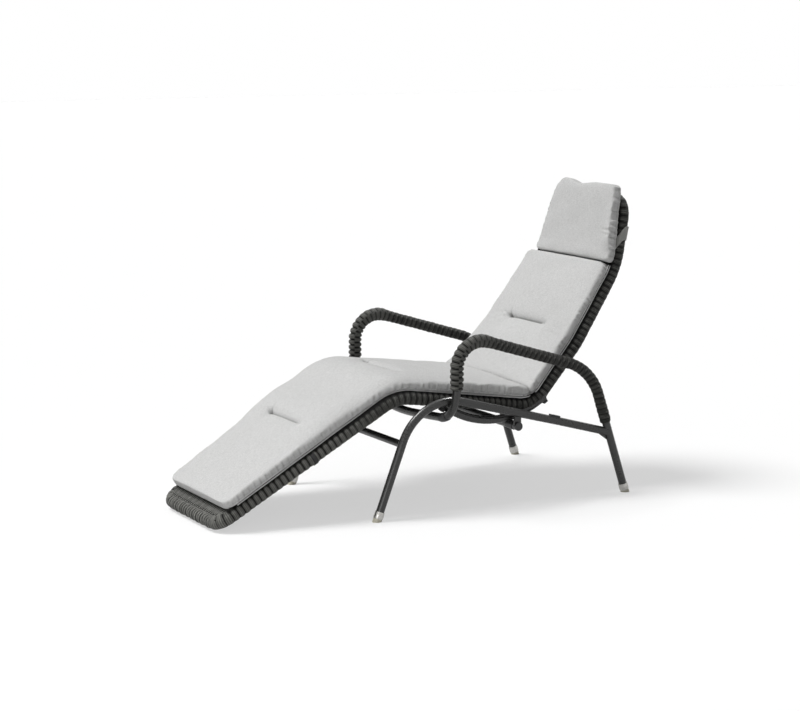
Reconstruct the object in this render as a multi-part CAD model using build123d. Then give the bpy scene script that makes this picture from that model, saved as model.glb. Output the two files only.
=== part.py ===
"""Reclining garden armchair.

A woven lounging shell rides on two curved runners, which slide over the cross tubes
of a bent-tube base.  The runners are arcs about one axis above the seat, so the shell
reclines about that axis.  A long pad, a back pad and a strapped head pillow lie on it.
Millimetres, +Z up, +X towards the head, -Y the sitter's left, Z = 0 the floor.
"""
import os
from math import atan2, cos, degrees, radians, sin, sqrt, tan

from build123d import *

# Bare tubes and fits
tube_d = 25.0
tube_wall = 2.0
running_gap = 0.3
weld_gap = 0.05
overrun = 60.0

# Arm tubes: front upright, sloping arm and rear leg in one bend line
arm_half_width = 320.0
arm_front_height = 547.0
arm_reach = 481.0
arm_slope_deg = 16.9
arm_front_bend_r = 80.0
arm_rear_bend_r = 170.0
rear_leg_lean_deg = 18.6
arm_joint_share = 0.62
spigot_length = 60.0
spigot_wall = 2.0

# Woven sleeves on the arms
wrap_front_d = 41.5
wrap_rear_d = 36.5
wrap_start_height = 388.0
wrap_taper_length = 60.0
wrap_end_above_rail = 33.0

# Front cross tube, the low bend of the same hoop
front_tube_rise_deg = 4.5
front_tube_corner_r = 100.0
front_tube_middle_r = 900.0

# Side rails, each in one piece with its front leg
rail_inset = 32.0
front_foot_inset = 37.0
front_bend_x = -110.0
front_bend_height = 374.0
front_bend_r = 170.0
front_leg_lean_deg = 20.6
rail_slope_deg = 15.0
rail_joggle_length = 150.0
rail_joggle_r = 260.0
gusset_length = 52.0
gusset_thickness = 6.0
gusset_drop = 26.0
stretcher_height = 224.0
stretcher_d = 22.0

# Rear cross tube and what holds it under the rails
rear_tube_x = 238.0
rear_tube_past_rail = 1.0
bracket_width = 24.0
bracket_thickness = 6.0
cap_d = 27.0
cap_length = 4.0
cap_spigot_length = 12.0
cap_dome_share = 0.6

# Feet
ferrule_d = 30.0
ferrule_length = 22.0
ferrule_taper = 0.8
ferrule_low_share = 0.22
ferrule_high_share = 0.62
glide_height = 9.0
glide_d = 27.0
glide_plug_length = 14.0

# Rubber pads on the rails
pad_x = 366.0
pad_length = 34.0
pad_width = 14.0
pad_rise = 4.0

# Recline axis and the runners about it
recline_x = 178.0
recline_height = 565.0
runner_outer_r = 317.0
runner_inset = 70.0
recline_range_deg = 20.0
sleeve_wall = 1.5
sleeve_length = 34.0
stop_length = 14.0
stop_width = 16.0
stop_rise = 6.0
stop_gap = 2.2

# Shell: side line of the rim's centre, from foot to head, and its distance inside the arms
shell_foot_x = -715.4
shell_foot_height = 24.7
shell_knee_x = -156.9
shell_knee_height = 356.6
shell_hip_x = 315.2
shell_hip_height = 289.0
shell_lumbar_x = 486.6
shell_lumbar_height = 471.3
shell_neck_x = 646.5
shell_neck_height = 694.7
shell_head_x = 691.3
shell_head_height = 900.2
knee_r = 141.7
hip_r = 112.0
lumbar_r = 420.0
neck_r = 289.0
foot_inset = 137.0
knee_inset = 88.0
hip_inset = 76.0
lumbar_inset = 92.0
neck_inset = 116.0
head_inset = 134.0
foot_corner_r = 48.0
head_corner_r = 60.0
shell_tube_d = 25.0
rim_d = 42.0
deck_thickness = 5.0
deck_below_rim_top = 3.0
brace_d = 16.0
brace_shares = (0.07, 0.24, 0.41, 0.56, 0.70, 0.85)

# Pads
pad_gap = 0.5
foot_side_height = 30.0
seat_side_height = 38.0
back_side_height = 31.0
pad_side_bulge_share = 0.14
foot_crown = 12.0
seat_crown = 21.0
back_crown = 20.0
pad_draw_in = 5.0
seat_pad_past_foot_rim = 13.0
pads_past_hip_rim = 12.0
back_pad_past_neck_rim = 10.0
calf_rise = 11.0
calf_rise_from_foot = 438.0
calf_rise_reach = 140.0
calf_rise_shares = (-1, -0.5, 0, 0.5, 1)
seat_pad_foot_inset = 44.0
crease_share = 0.52
station_gap = 6.0
crease_gap = 1.2
pad_end_round = 34.0
pad_end_shares = (0, 0.12, 0.4, 1)
pad_corner_share = 0.8
round_crown_loss_share = 0.55
crease_side_loss_share = 0.22
crease_crown_loss_share = 0.7
tuft_half_length = 98.0
tuft_depth = 12.0
leg_tuft_from_foot = 393.0
knee_tuft_from_foot = 714.0
back_tuft_from_crease = 258.0
tie_from_foot = 330.0
tie_width = 14.0
tie_open_share = 0.8
strap_thickness = 1.4

# Head pillow
pillow_start_past_neck = 2.0
pillow_above_head = 42.0
pillow_past_neck_rim = 4.0
pillow_inside_head_rim = 24.0
pillow_bottom_side_height = 28.0
pillow_top_side_height = 10.0
pillow_crown = 13.0
pillow_gap = 6.0
pillow_side_loss_share = 0.4
pillow_crown_loss_share = 0.5
pillow_run_shares = (0, 0.02, 0.06, 0.14, 0.3, 0.5, 0.7, 0.86, 0.94, 0.98, 1)
strap_above_neck = 108.0
strap_width = 44.0


def rad_sin(angle_deg):
    return sin(radians(angle_deg))


def rad_cos(angle_deg):
    return cos(radians(angle_deg))


def rad_tan(angle_deg):
    return tan(radians(angle_deg))


def between(start, end, share):
    """Point that lies the given share of the way from start to end."""
    return start + (end - start) * share


def biggest(shape):
    """The largest solid of a cut, without its offcuts."""
    return max(shape.solids(), key=lambda solid: solid.volume)


def both_sides(solid):
    """The solid and its mirror image on the other side of the chair."""
    return [solid, mirror(solid, about=Plane.XZ)]


def bend_edges(points, radii):
    """Straight runs through the points, joined by tangent arcs at the inner ones."""
    points = [Vector(*point) for point in points]
    edges = []
    start = points[0]
    for index, radius in enumerate(radii, 1):
        corner = points[index]
        back = (points[index - 1] - corner).normalized()
        ahead = (points[index + 1] - corner).normalized()
        half_turn = radians(180 - back.get_angle(ahead)) / 2
        inward = (back + ahead).normalized()
        arc_start = corner + back * radius * tan(half_turn)
        arc_end = corner + ahead * radius * tan(half_turn)
        arc_middle = corner + inward * (radius / cos(half_turn) - radius)
        edges.append(Line(start, arc_start))
        edges.append(ThreePointArc(arc_start, arc_middle, arc_end))
        start = arc_end
    edges.append(Line(start, points[-1]))
    return edges


def bent(points, radii):
    """Wire of straight runs and tangent arcs."""
    return Wire(bend_edges(points, radii))


def bar(path, diameter):
    """Round bar along a path."""
    section = Plane(origin=path @ 0, z_dir=path % 0) * Circle(diameter / 2)
    return sweep(section, path=path)


def pipe(path, diameter, wall):
    """Round tube along a path, open at its ends."""
    return bar(path, diameter) - bar(path, diameter - 2 * wall)


def cross_bar(x, z, half_length, diameter):
    """Round bar straight across the chair."""
    return Plane(origin=(x, 0, z), z_dir=(0, 1, 0)) * Cylinder(diameter / 2, 2 * half_length)


def prism_across(points, y_middle, thickness):
    """Plate in a fore-and-aft plane, from its corners in X and Z."""
    corners = [Vector(x, y_middle - thickness / 2, z) for x, z in points]
    outline = Polyline(*corners, close=True)
    return extrude(make_face(outline), amount=thickness, dir=(0, 1, 0))


# Half widths and radii that follow from the arms and the tubes
rail_half_width = arm_half_width - rail_inset
front_foot_half_width = arm_half_width - front_foot_inset
rear_tube_half_length = rail_half_width + rear_tube_past_rail
runner_half_width = arm_half_width - runner_inset
foot_half_width = arm_half_width - foot_inset
knee_half_width = arm_half_width - knee_inset
hip_half_width = arm_half_width - hip_inset
lumbar_half_width = arm_half_width - lumbar_inset
neck_half_width = arm_half_width - neck_inset
head_half_width = arm_half_width - head_inset
tube_r = tube_d / 2
bore_r = tube_r - tube_wall
sleeve_r = tube_r + sleeve_wall
runner_r = runner_outer_r - tube_r
rim_r = rim_d / 2

# Where the runners cross the two tubes that carry them
carry_distance = tube_r + sleeve_r + running_gap
rear_tube_distance = runner_r + carry_distance
rear_tube_height = recline_height - sqrt(rear_tube_distance**2 - (recline_x - rear_tube_x) ** 2)
corner_reach = runner_half_width - (arm_half_width - front_tube_corner_r)
corner_drop = sqrt(front_tube_corner_r**2 - corner_reach**2)
crossing_cos = sqrt(1 - (recline_x / rear_tube_distance) ** 2)
crossing_factor = sqrt(1 + (crossing_cos * corner_reach / corner_drop) ** 2)
front_tube_distance = runner_r + carry_distance * crossing_factor
front_crossing_height = recline_height - sqrt(front_tube_distance**2 - recline_x**2)
corner_centre_height = front_crossing_height + corner_drop
front_contact_deg = 180 + degrees(atan2(recline_height - front_crossing_height, recline_x))
rear_contact_deg = 360 - degrees(atan2(recline_height - rear_tube_height, rear_tube_x - recline_x))


def about_recline(radius, angle_deg, y):
    """Point at a radius and angle about the recline axis."""
    x = recline_x + radius * rad_cos(angle_deg)
    return Vector(x, y, recline_height + radius * rad_sin(angle_deg))


# Arm line on the sitter's right, at +Y: upright, sloping arm and rear leg
arm_rear_height = arm_front_height - arm_reach * rad_tan(arm_slope_deg)
rear_foot_x = arm_reach + arm_rear_height * rad_tan(rear_leg_lean_deg)
arm_front_corner = Vector(0, arm_half_width, arm_front_height)
arm_rear_corner = Vector(arm_reach, arm_half_width, arm_rear_height)
arm_back = (arm_rear_corner - arm_front_corner).normalized()
arm_joint = between(arm_front_corner, arm_rear_corner, arm_joint_share)
rear_floor_point = Vector(rear_foot_x, arm_half_width, 0)
rear_leg_up = (arm_rear_corner - rear_floor_point).normalized()
rear_leg_end = rear_floor_point + rear_leg_up * glide_height
rear_leg_path = bent([arm_joint, arm_rear_corner, rear_leg_end], [arm_rear_bend_r])
rear_leg_solid = bar(rear_leg_path, tube_d)
rear_leg = pipe(rear_leg_path, tube_d, tube_wall)

# Front hoop: one tube with both fronts of the arms, the uprights and the low cross bend
hoop_corner_height = corner_centre_height - front_tube_corner_r * rad_tan(
    (90 - front_tube_rise_deg) / 2
)
hoop_middle_height = hoop_corner_height - arm_half_width * rad_tan(front_tube_rise_deg)
hoop_path = bent(
    [
        (arm_joint.X, -arm_half_width, arm_joint.Z),
        (0, -arm_half_width, arm_front_height),
        (0, -arm_half_width, hoop_corner_height),
        (0, 0, hoop_middle_height),
        (0, arm_half_width, hoop_corner_height),
        arm_front_corner,
        arm_joint,
    ],
    [
        arm_front_bend_r,
        front_tube_corner_r,
        front_tube_middle_r,
        front_tube_corner_r,
        arm_front_bend_r,
    ],
)
hoop_solid = bar(hoop_path, tube_d)
hoop = pipe(hoop_path, tube_d, tube_wall)

# Side rail with its front leg
rail_fall = rad_tan(rail_slope_deg)
joint_height = (front_bend_height - rail_fall * (rear_foot_x - front_bend_x)) / (
    1 - rail_fall * rad_tan(rear_leg_lean_deg)
)
joint_x = rear_foot_x - joint_height * rad_tan(rear_leg_lean_deg)
front_foot_x = front_bend_x - front_bend_height * rad_tan(front_leg_lean_deg)
front_floor_point = Vector(front_foot_x, front_foot_half_width, 0)
front_bend_corner = Vector(front_bend_x, rail_half_width, front_bend_height)
front_leg_up = (front_bend_corner - front_floor_point).normalized()
rail_joint = Vector(joint_x, arm_half_width, joint_height)


def on_rail(x):
    """Point on the rail's axis, ahead of its outward bend."""
    return Vector(x, rail_half_width, front_bend_height - rail_fall * (x - front_bend_x))


rail_path = bent(
    [
        front_floor_point + front_leg_up * glide_height,
        front_bend_corner,
        on_rail(joint_x - rail_joggle_length),
        rail_joint,
    ],
    [front_bend_r, rail_joggle_r],
)
rail_solid = bar(rail_path, tube_d)
rail_pipe = pipe(rail_path, tube_d, tube_wall)
rail_tube = biggest(rail_pipe - bar(rear_leg_path, tube_d + 2 * weld_gap) - hoop_solid)

# Spigots that join the hoop to the rear legs inside the woven sleeves
spigot = Plane(origin=arm_joint, z_dir=arm_back) * (
    Cylinder(bore_r - weld_gap, spigot_length)
    - Cylinder(bore_r - weld_gap - spigot_wall, spigot_length)
)

# Stretcher between the front legs
stretcher_point = front_floor_point + front_leg_up * (stretcher_height / front_leg_up.Z)
rails_solid = both_sides(rail_solid)
stretcher = cross_bar(stretcher_point.X, stretcher_height, stretcher_point.Y, stretcher_d)
stretcher -= cross_bar(
    stretcher_point.X, stretcher_height, stretcher_point.Y, stretcher_d - 2 * tube_wall
)
stretcher = biggest(stretcher - rails_solid[0] - rails_solid[1])

# Rear cross tube, its end caps and the brackets under the rails
rear_tube_solid = cross_bar(rear_tube_x, rear_tube_height, rear_tube_half_length, tube_d)
rear_tube = rear_tube_solid - cross_bar(
    rear_tube_x, rear_tube_height, rear_tube_half_length, 2 * bore_r
)
rear_tube_end = Plane(
    origin=(rear_tube_x, rear_tube_half_length, rear_tube_height), z_dir=(0, 1, 0)
)
cap_disc = rear_tube_end * (Pos(0, 0, cap_length / 2) * Cylinder(cap_d / 2, cap_length))
cap_plug = rear_tube_end * (
    Pos(0, 0, -cap_spigot_length / 2) * Cylinder(bore_r - weld_gap, cap_spigot_length)
)
cap_dome = cap_disc.edges().sort_by(Axis.Y)[-1:]
end_cap = fillet(cap_dome, cap_length * cap_dome_share) + cap_plug
bracket_top = on_rail(rear_tube_x)
bracket_half = bracket_width / 2
bracket = prism_across(
    [
        (rear_tube_x - bracket_half, rear_tube_height),
        (rear_tube_x + bracket_half, rear_tube_height),
        (rear_tube_x + bracket_half, bracket_top.Z),
        (rear_tube_x - bracket_half, bracket_top.Z),
    ],
    rail_half_width - bracket_thickness,
    bracket_thickness,
)
bracket = biggest(bracket - rail_solid - rear_tube_solid)

# Gusset in the corner between the rail's end and the rear leg
rail_back = (on_rail(0) - on_rail(joint_x)).normalized()
gusset_rail_end = rail_joint + rail_back * (tube_r + gusset_length)
gusset_leg_end = rail_joint - rear_leg_up * (tube_r + gusset_drop)
gusset = prism_across(
    [
        (rail_joint.X, rail_joint.Z),
        (gusset_rail_end.X, gusset_rail_end.Z),
        (gusset_leg_end.X, gusset_leg_end.Z),
    ],
    arm_half_width - gusset_thickness / 2,
    gusset_thickness,
)
gusset = biggest(gusset - rail_solid - rear_leg_solid)

# Rubber pad on top of the rail
pad_point = on_rail(pad_x)
pad_plane = Plane(origin=pad_point, x_dir=-rail_back, z_dir=Vector(0, 1, 0).cross(rail_back))
pad_height = tube_r + pad_rise
rail_pad = pad_plane * (Pos(0, 0, pad_height / 2) * Box(pad_length, pad_width, pad_height))
rail_pad = biggest(rail_pad - rail_solid)


def foot(floor_point, leg_up):
    """Ferrule over the end of a leg and the glide under it, cut flat at the floor."""
    plane = Plane(origin=floor_point, z_dir=leg_up)
    inner = tube_r + weld_gap
    outer = ferrule_d / 2
    top = glide_height + ferrule_length
    outline = Polyline(
        (inner, glide_height),
        (outer - ferrule_taper, glide_height),
        (outer, glide_height + ferrule_length * ferrule_low_share),
        (outer, glide_height + ferrule_length * ferrule_high_share),
        (outer - ferrule_taper, top),
        (inner, top),
        close=True,
    )
    ferrule = revolve(Plane.XZ * make_face(outline), axis=Axis.Z)
    low = -glide_d * rad_tan(max(front_leg_lean_deg, rear_leg_lean_deg))
    body = Pos(0, 0, (low + glide_height) / 2) * Cylinder(glide_d / 2, glide_height - low)
    plug_height = glide_height + glide_plug_length / 2
    plug = Pos(0, 0, plug_height) * Cylinder(bore_r - weld_gap, glide_plug_length)
    glide = plane * (body + plug)
    glide -= Pos(floor_point.X, floor_point.Y, -overrun / 2) * Box(overrun, overrun, overrun)
    return plane * ferrule, glide


front_ferrule, front_glide = foot(front_floor_point, front_leg_up)
rear_ferrule, rear_glide = foot(rear_floor_point, rear_leg_up)

# Woven sleeve on the arm: thick round the front bend, slimmer behind it
front_tangent = arm_front_bend_r * rad_tan((90 + arm_slope_deg) / 2)
taper_start = arm_front_corner + arm_back * (front_tangent + wrap_front_d / 2)
taper_end = taper_start + arm_back * wrap_taper_length
wrap_end = rail_joint + rear_leg_up * wrap_end_above_rail
wrap_front_path = bent(
    [(0, arm_half_width, wrap_start_height), arm_front_corner, taper_start], [arm_front_bend_r]
)
wrap_rear_path = bent([taper_end, arm_rear_corner, wrap_end], [arm_rear_bend_r])
wrap_taper = loft(
    [
        Plane(origin=taper_start, z_dir=arm_back) * Circle(wrap_front_d / 2),
        Plane(origin=taper_end, z_dir=arm_back) * Circle(wrap_rear_d / 2),
    ]
)
arm_wrap = bar(wrap_front_path, wrap_front_d) + wrap_taper + bar(wrap_rear_path, wrap_rear_d)
arm_wrap -= bar(rear_leg_path, tube_d + 2 * weld_gap)
arm_wrap -= bar(hoop_path, tube_d + 2 * weld_gap)
arm_wrap = biggest(arm_wrap)

# Sleeves that the runners slide on
rear_sleeve = Pos(0, runner_half_width, 0) * (
    cross_bar(rear_tube_x, rear_tube_height, sleeve_length / 2, 2 * sleeve_r)
    - cross_bar(rear_tube_x, rear_tube_height, sleeve_length / 2, tube_d + 2 * weld_gap)
)


def on_front_corner(y):
    """Point on the rounded corner of the front cross tube."""
    reach = y - (arm_half_width - front_tube_corner_r)
    return Vector(0, y, corner_centre_height - sqrt(front_tube_corner_r**2 - reach**2))


sleeve_half_run = sleeve_length / 2 * corner_drop / front_tube_corner_r
front_sleeve_path = ThreePointArc(
    on_front_corner(runner_half_width - sleeve_half_run),
    on_front_corner(runner_half_width),
    on_front_corner(runner_half_width + sleeve_half_run),
)
front_sleeve = pipe(front_sleeve_path, 2 * sleeve_r, sleeve_wall - weld_gap)

# Shell frame tube and the woven roll round it
shell_half_path = bent(
    [
        (shell_foot_x, 0, shell_foot_height),
        (shell_foot_x, foot_half_width, shell_foot_height),
        (shell_knee_x, knee_half_width, shell_knee_height),
        (shell_hip_x, hip_half_width, shell_hip_height),
        (shell_lumbar_x, lumbar_half_width, shell_lumbar_height),
        (shell_neck_x, neck_half_width, shell_neck_height),
        (shell_head_x, head_half_width, shell_head_height),
        (shell_head_x, 0, shell_head_height),
    ],
    [foot_corner_r, knee_r, hip_r, lumbar_r, neck_r, head_corner_r],
)


def loop(half):
    """Closed loop from its half at +Y."""
    return half + mirror(half, about=Plane.XZ)


shell_tube_r = shell_tube_d / 2
frame_solid = loop(bar(shell_half_path, shell_tube_d))
frame_tube = loop(pipe(shell_half_path, shell_tube_d, tube_wall))
rim_solid = loop(bar(shell_half_path, rim_d))
side_edges = bend_edges(
    [
        (shell_foot_x, 0, shell_foot_height),
        (shell_knee_x, 0, shell_knee_height),
        (shell_hip_x, 0, shell_hip_height),
        (shell_lumbar_x, 0, shell_lumbar_height),
        (shell_neck_x, 0, shell_neck_height),
        (shell_head_x, 0, shell_head_height),
    ],
    [knee_r, hip_r, lumbar_r, neck_r],
)
side_line = Wire(side_edges)
spans = [edge.length for edge in side_edges]
side_length = sum(spans)
knee_at = spans[0] + spans[1] / 2
hip_at = sum(spans[:3]) + spans[3] / 2
lumbar_at = sum(spans[:5]) + spans[5] / 2
neck_at = sum(spans[:7]) + spans[7] / 2
width_stations = (
    (0, foot_half_width),
    (knee_at, knee_half_width),
    (hip_at, hip_half_width),
    (lumbar_at, lumbar_half_width),
    (neck_at, neck_half_width),
    (side_length, head_half_width),
)


def side_plane(run):
    """Plane square to the side line, with Y across and up off the deck."""
    inside = min(max(run, 0), side_length)
    point = side_line.position_at(inside, position_mode=PositionMode.LENGTH)
    along = side_line.tangent_at(inside, position_mode=PositionMode.LENGTH)
    return Plane(origin=point + along * (run - inside), x_dir=(0, 1, 0), z_dir=along)


def shell_half_width(run):
    """Half width between the rim's centre lines at a run along the side line."""
    for (start, start_half), (end, end_half) in zip(width_stations, width_stations[1:]):
        if run <= end:
            break
    return between(start_half, end_half, (run - start) / (end - start))


# Woven deck between the rims
deck_offset = rim_r - deck_below_rim_top - deck_thickness / 2
deck_section = side_plane(0) * Pos(0, deck_offset, 0) * Rectangle(2 * hip_half_width, deck_thickness)
deck = biggest(sweep(deck_section, path=side_line) - rim_solid)

# Braces across the frame
braces = []
brace_holes = []
for share in brace_shares:
    plane = side_plane(share * side_length)
    half_length = shell_half_width(share * side_length)
    solid = cross_bar(plane.origin.X, plane.origin.Z, half_length, brace_d)
    braces.append(biggest(solid - frame_solid))
    brace_holes.append(
        cross_bar(plane.origin.X, plane.origin.Z, half_length, brace_d + 2 * weld_gap)
    )

# Runners with their stops
stop_r = runner_outer_r + stop_rise
stop_reach = sqrt(sleeve_r**2 - (rear_tube_distance - stop_r) ** 2) + stop_gap
stop_turn_deg = degrees(stop_reach / stop_r)
stop_edge_reach = corner_reach + stop_width / 2
stop_edge_rise = corner_drop - sqrt(front_tube_corner_r**2 - stop_edge_reach**2)
stop_edge_distance = front_tube_distance - stop_edge_rise * crossing_cos
front_stop_reach = sqrt((sleeve_r * crossing_factor) ** 2 - (stop_edge_distance - stop_r) ** 2)
front_stop_turn_deg = degrees((front_stop_reach + stop_gap) / stop_r)
stop_span_deg = degrees(stop_length / stop_r)
front_stop_deg = front_contact_deg - front_stop_turn_deg
rear_stop_deg = rear_contact_deg + recline_range_deg + stop_turn_deg
runner_start_deg = front_stop_deg - stop_span_deg
runner_end_deg = rear_stop_deg + stop_span_deg
runner_path = ThreePointArc(
    about_recline(runner_r, runner_start_deg, runner_half_width),
    about_recline(runner_r, between(runner_start_deg, runner_end_deg, 0.5), runner_half_width),
    about_recline(runner_r, runner_end_deg, runner_half_width),
)
runner_solid = bar(runner_path, tube_d)
runner = biggest(pipe(runner_path, tube_d, tube_wall) - frame_solid)


def runner_stop(start_deg, end_deg):
    """Rubber block on the outside of the runner, between two angles."""
    middle_deg = between(start_deg, end_deg, 0.5)
    middle = about_recline(runner_r, middle_deg, runner_half_width)
    outward = (about_recline(stop_r, middle_deg, runner_half_width) - middle).normalized()
    plane = Plane(origin=middle, x_dir=(0, 1, 0), z_dir=outward)
    height = stop_r - runner_r
    block = plane * (Pos(0, 0, height / 2) * Box(stop_width, stop_length, height))
    return biggest(block - runner_solid - frame_solid)


front_stop = runner_stop(runner_start_deg, front_stop_deg)
rear_stop = runner_stop(rear_stop_deg, runner_end_deg)
rim = rim_solid - loop(bar(shell_half_path, shell_tube_d + 2 * weld_gap))
runner_hole = bar(runner_path, tube_d + 2 * weld_gap)
for cutter in both_sides(runner_hole) + both_sides(front_stop) + both_sides(rear_stop) + brace_holes:
    rim -= cutter
rim = biggest(rim)

# Pads
pad_base = rim_r + pad_gap


def pad_section(run, half_width, side_height, crown):
    """Boxed pad section: flat below, bulged sides between the seams, crowned above."""
    low = pad_base
    top = pad_base + side_height
    bulge = side_height * pad_side_bulge_share
    outline = [
        Line((-half_width, low), (half_width, low)),
        ThreePointArc((half_width, low), (half_width + bulge, (low + top) / 2), (half_width, top)),
        ThreePointArc((half_width, top), (0, top + crown), (-half_width, top)),
        ThreePointArc((-half_width, top), (-half_width - bulge, (low + top) / 2), (-half_width, low)),
    ]
    return side_plane(run) * make_face(outline)


def pad_solid(stations):
    """Pad lofted through its sections: run, half width, side height and crown."""
    return loft([pad_section(*station) for station in stations], ruled=True)


def tuft(run, half_length, top):
    """Spindle that presses a short sewn line into a pad's top."""
    lens = [
        Line((-half_length, 0), (half_length, 0)),
        ThreePointArc((half_length, 0), (0, -tuft_depth), (-half_length, 0)),
    ]
    spindle = revolve(make_face(lens), axis=Axis.X)
    return side_plane(run) * Pos(0, top, 0) * spindle


crease_at = between(sum(spans[:3]), sum(spans[:4]), crease_share)
seat_start = seat_pad_foot_inset
seat_end = crease_at - crease_gap / 2
back_start = crease_at + crease_gap / 2
pillow_start = neck_at + pillow_start_past_neck
back_end = pillow_start - pillow_gap


def drawn_in(run, start, end, depth):
    """How far a pad's side draws in between its two ends."""
    return depth * sin(radians(180) * (run - start) / (end - start))


def near_end(gap):
    """One at a pad's end, falling to zero where its rounding starts."""
    return max(0, 1 - gap / pad_end_round)


def rounded_in(near):
    """How far a rounded pad end draws its sides in."""
    return pad_end_round * pad_corner_share * (1 - sqrt(1 - near**2))


def apart(first, inner, last):
    """All runs in order, without the inner ones that crowd the run before or the last group."""
    kept = list(first)
    for run in sorted(inner):
        if run - kept[-1] > station_gap and last[0] - run > station_gap:
            kept.append(run)
    return kept + last


def risen(run, rise):
    """Height that a pad's sides gain at a run where it puffs up over the calves."""
    near = max(0, 1 - ((run - calf_rise_from_foot) / calf_rise_reach) ** 2)
    return rise * near**2


def grown(run, heights):
    """Height that grows from its value at the foot to its full value at the knee."""
    return between(heights[0], heights[1], min(1, run / knee_at))


def long_pad(start, end, widths, sides, crowns, round_start, round_end, rise, inner):
    """Stations of a pad between two runs, with rounded or creased ends."""
    first = [start + pad_end_round * share for share in pad_end_shares]
    last = [end - pad_end_round * share for share in reversed(pad_end_shares)]
    stations = []
    for run in apart(first, inner, last):
        half = between(widths[0], widths[1], (run - start) / (end - start))
        half -= drawn_in(run, start, end, pad_draw_in)
        side = grown(run, sides) + risen(run, rise)
        crown = grown(run, crowns)
        for near, rounded in ((near_end(run - start), round_start), (near_end(end - run), round_end)):
            if rounded:
                half -= rounded_in(near)
                crown *= 1 - round_crown_loss_share * near**2
            else:
                side *= 1 - crease_side_loss_share * near**2
                crown *= 1 - crease_crown_loss_share * near**2
        stations.append((run, half, side, crown))
    return stations


seat_runs = [calf_rise_from_foot + calf_rise_reach * share for share in calf_rise_shares]
seat_runs += [spans[0] + spans[1] * share for share in (0, 0.25, 0.5, 0.75, 1)]
seat_runs += [between(sum(spans[:2]), sum(spans[:3]), share) for share in (0.35, 0.7)]
seat_runs += [sum(spans[:3])]
crease_half_width = hip_half_width + pads_past_hip_rim
seat_widths = (foot_half_width + seat_pad_past_foot_rim, crease_half_width)
seat_sides = (foot_side_height, seat_side_height)
seat_crowns = (foot_crown, seat_crown)
seat_shape = (seat_widths, seat_sides, seat_crowns, True, False, calf_rise)
seat_pad = pad_solid(long_pad(seat_start, seat_end, *seat_shape, seat_runs))
for run in (leg_tuft_from_foot, knee_tuft_from_foot):
    side = grown(run, seat_sides) + risen(run, calf_rise)
    seat_pad -= tuft(run, tuft_half_length, pad_base + side + grown(run, seat_crowns))
back_runs = [sum(spans[:4]), sum(spans[:5]), lumbar_at, sum(spans[:6]), sum(spans[:7])]
back_widths = (crease_half_width, neck_half_width + back_pad_past_neck_rim)
back_sides = (back_side_height, back_side_height)
back_shape = (back_widths, back_sides, (back_crown, back_crown), False, True, 0)
back_pad = pad_solid(long_pad(back_start, back_end, *back_shape, back_runs))
back_top = pad_base + back_side_height + back_crown
back_pad -= tuft(crease_at + back_tuft_from_crease, tuft_half_length, back_top)

# Head pillow, kinked over the neck bend, and its strap round the shell
pillow_end = side_length + pillow_above_head
pillow_runs = [between(pillow_start, pillow_end, share) for share in pillow_run_shares]
pillow_bottom_half_width = neck_half_width + pillow_past_neck_rim
pillow_top_half_width = head_half_width - pillow_inside_head_rim
pillow_stations = []
for run in pillow_runs:
    share = (run - pillow_start) / (pillow_end - pillow_start)
    near = near_end(min(run - pillow_start, pillow_end - run))
    half = between(pillow_bottom_half_width, pillow_top_half_width, share) - rounded_in(near)
    side = between(pillow_bottom_side_height, pillow_top_side_height, share)
    side *= 1 - pillow_side_loss_share * near**2
    crown = pillow_crown * (1 - pillow_crown_loss_share * near**2)
    pillow_stations.append((run, half, side, crown))
pillow = pad_solid(pillow_stations)
strap_at = neck_at + strap_above_neck
strap_low = strap_at - strap_width / 2
strap_span = 2 * shell_half_width(strap_low)
strap_inner = rim_r + 2 * running_gap
strap_outer = strap_inner + strap_thickness
strap_ring = SlotCenterToCenter(strap_span, 2 * strap_outer) - SlotCenterToCenter(
    strap_span, 2 * strap_inner
)
strap_ring -= Pos(0, rim_r + overrun / 2) * Rectangle(strap_span + overrun * 2, overrun)
strap = extrude(side_plane(strap_low) * strap_ring, amount=strap_width)

# Ties that hold the seat pad to the rim
tie_plane = side_plane(tie_from_foot)
tie_inner = rim_r + running_gap
tie_ring = Circle(tie_inner + strap_thickness) - Circle(tie_inner)
tie_ring -= Pos(-overrun / 2, 0) * Rectangle(overrun, 2 * overrun)
tie_ring -= Pos(0, rim_r * tie_open_share + overrun / 2) * Rectangle(2 * overrun, overrun)
tie_place = tie_plane * Pos(shell_half_width(tie_from_foot + tie_width), 0)
tie = extrude(tie_place * tie_ring, amount=tie_width)

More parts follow.
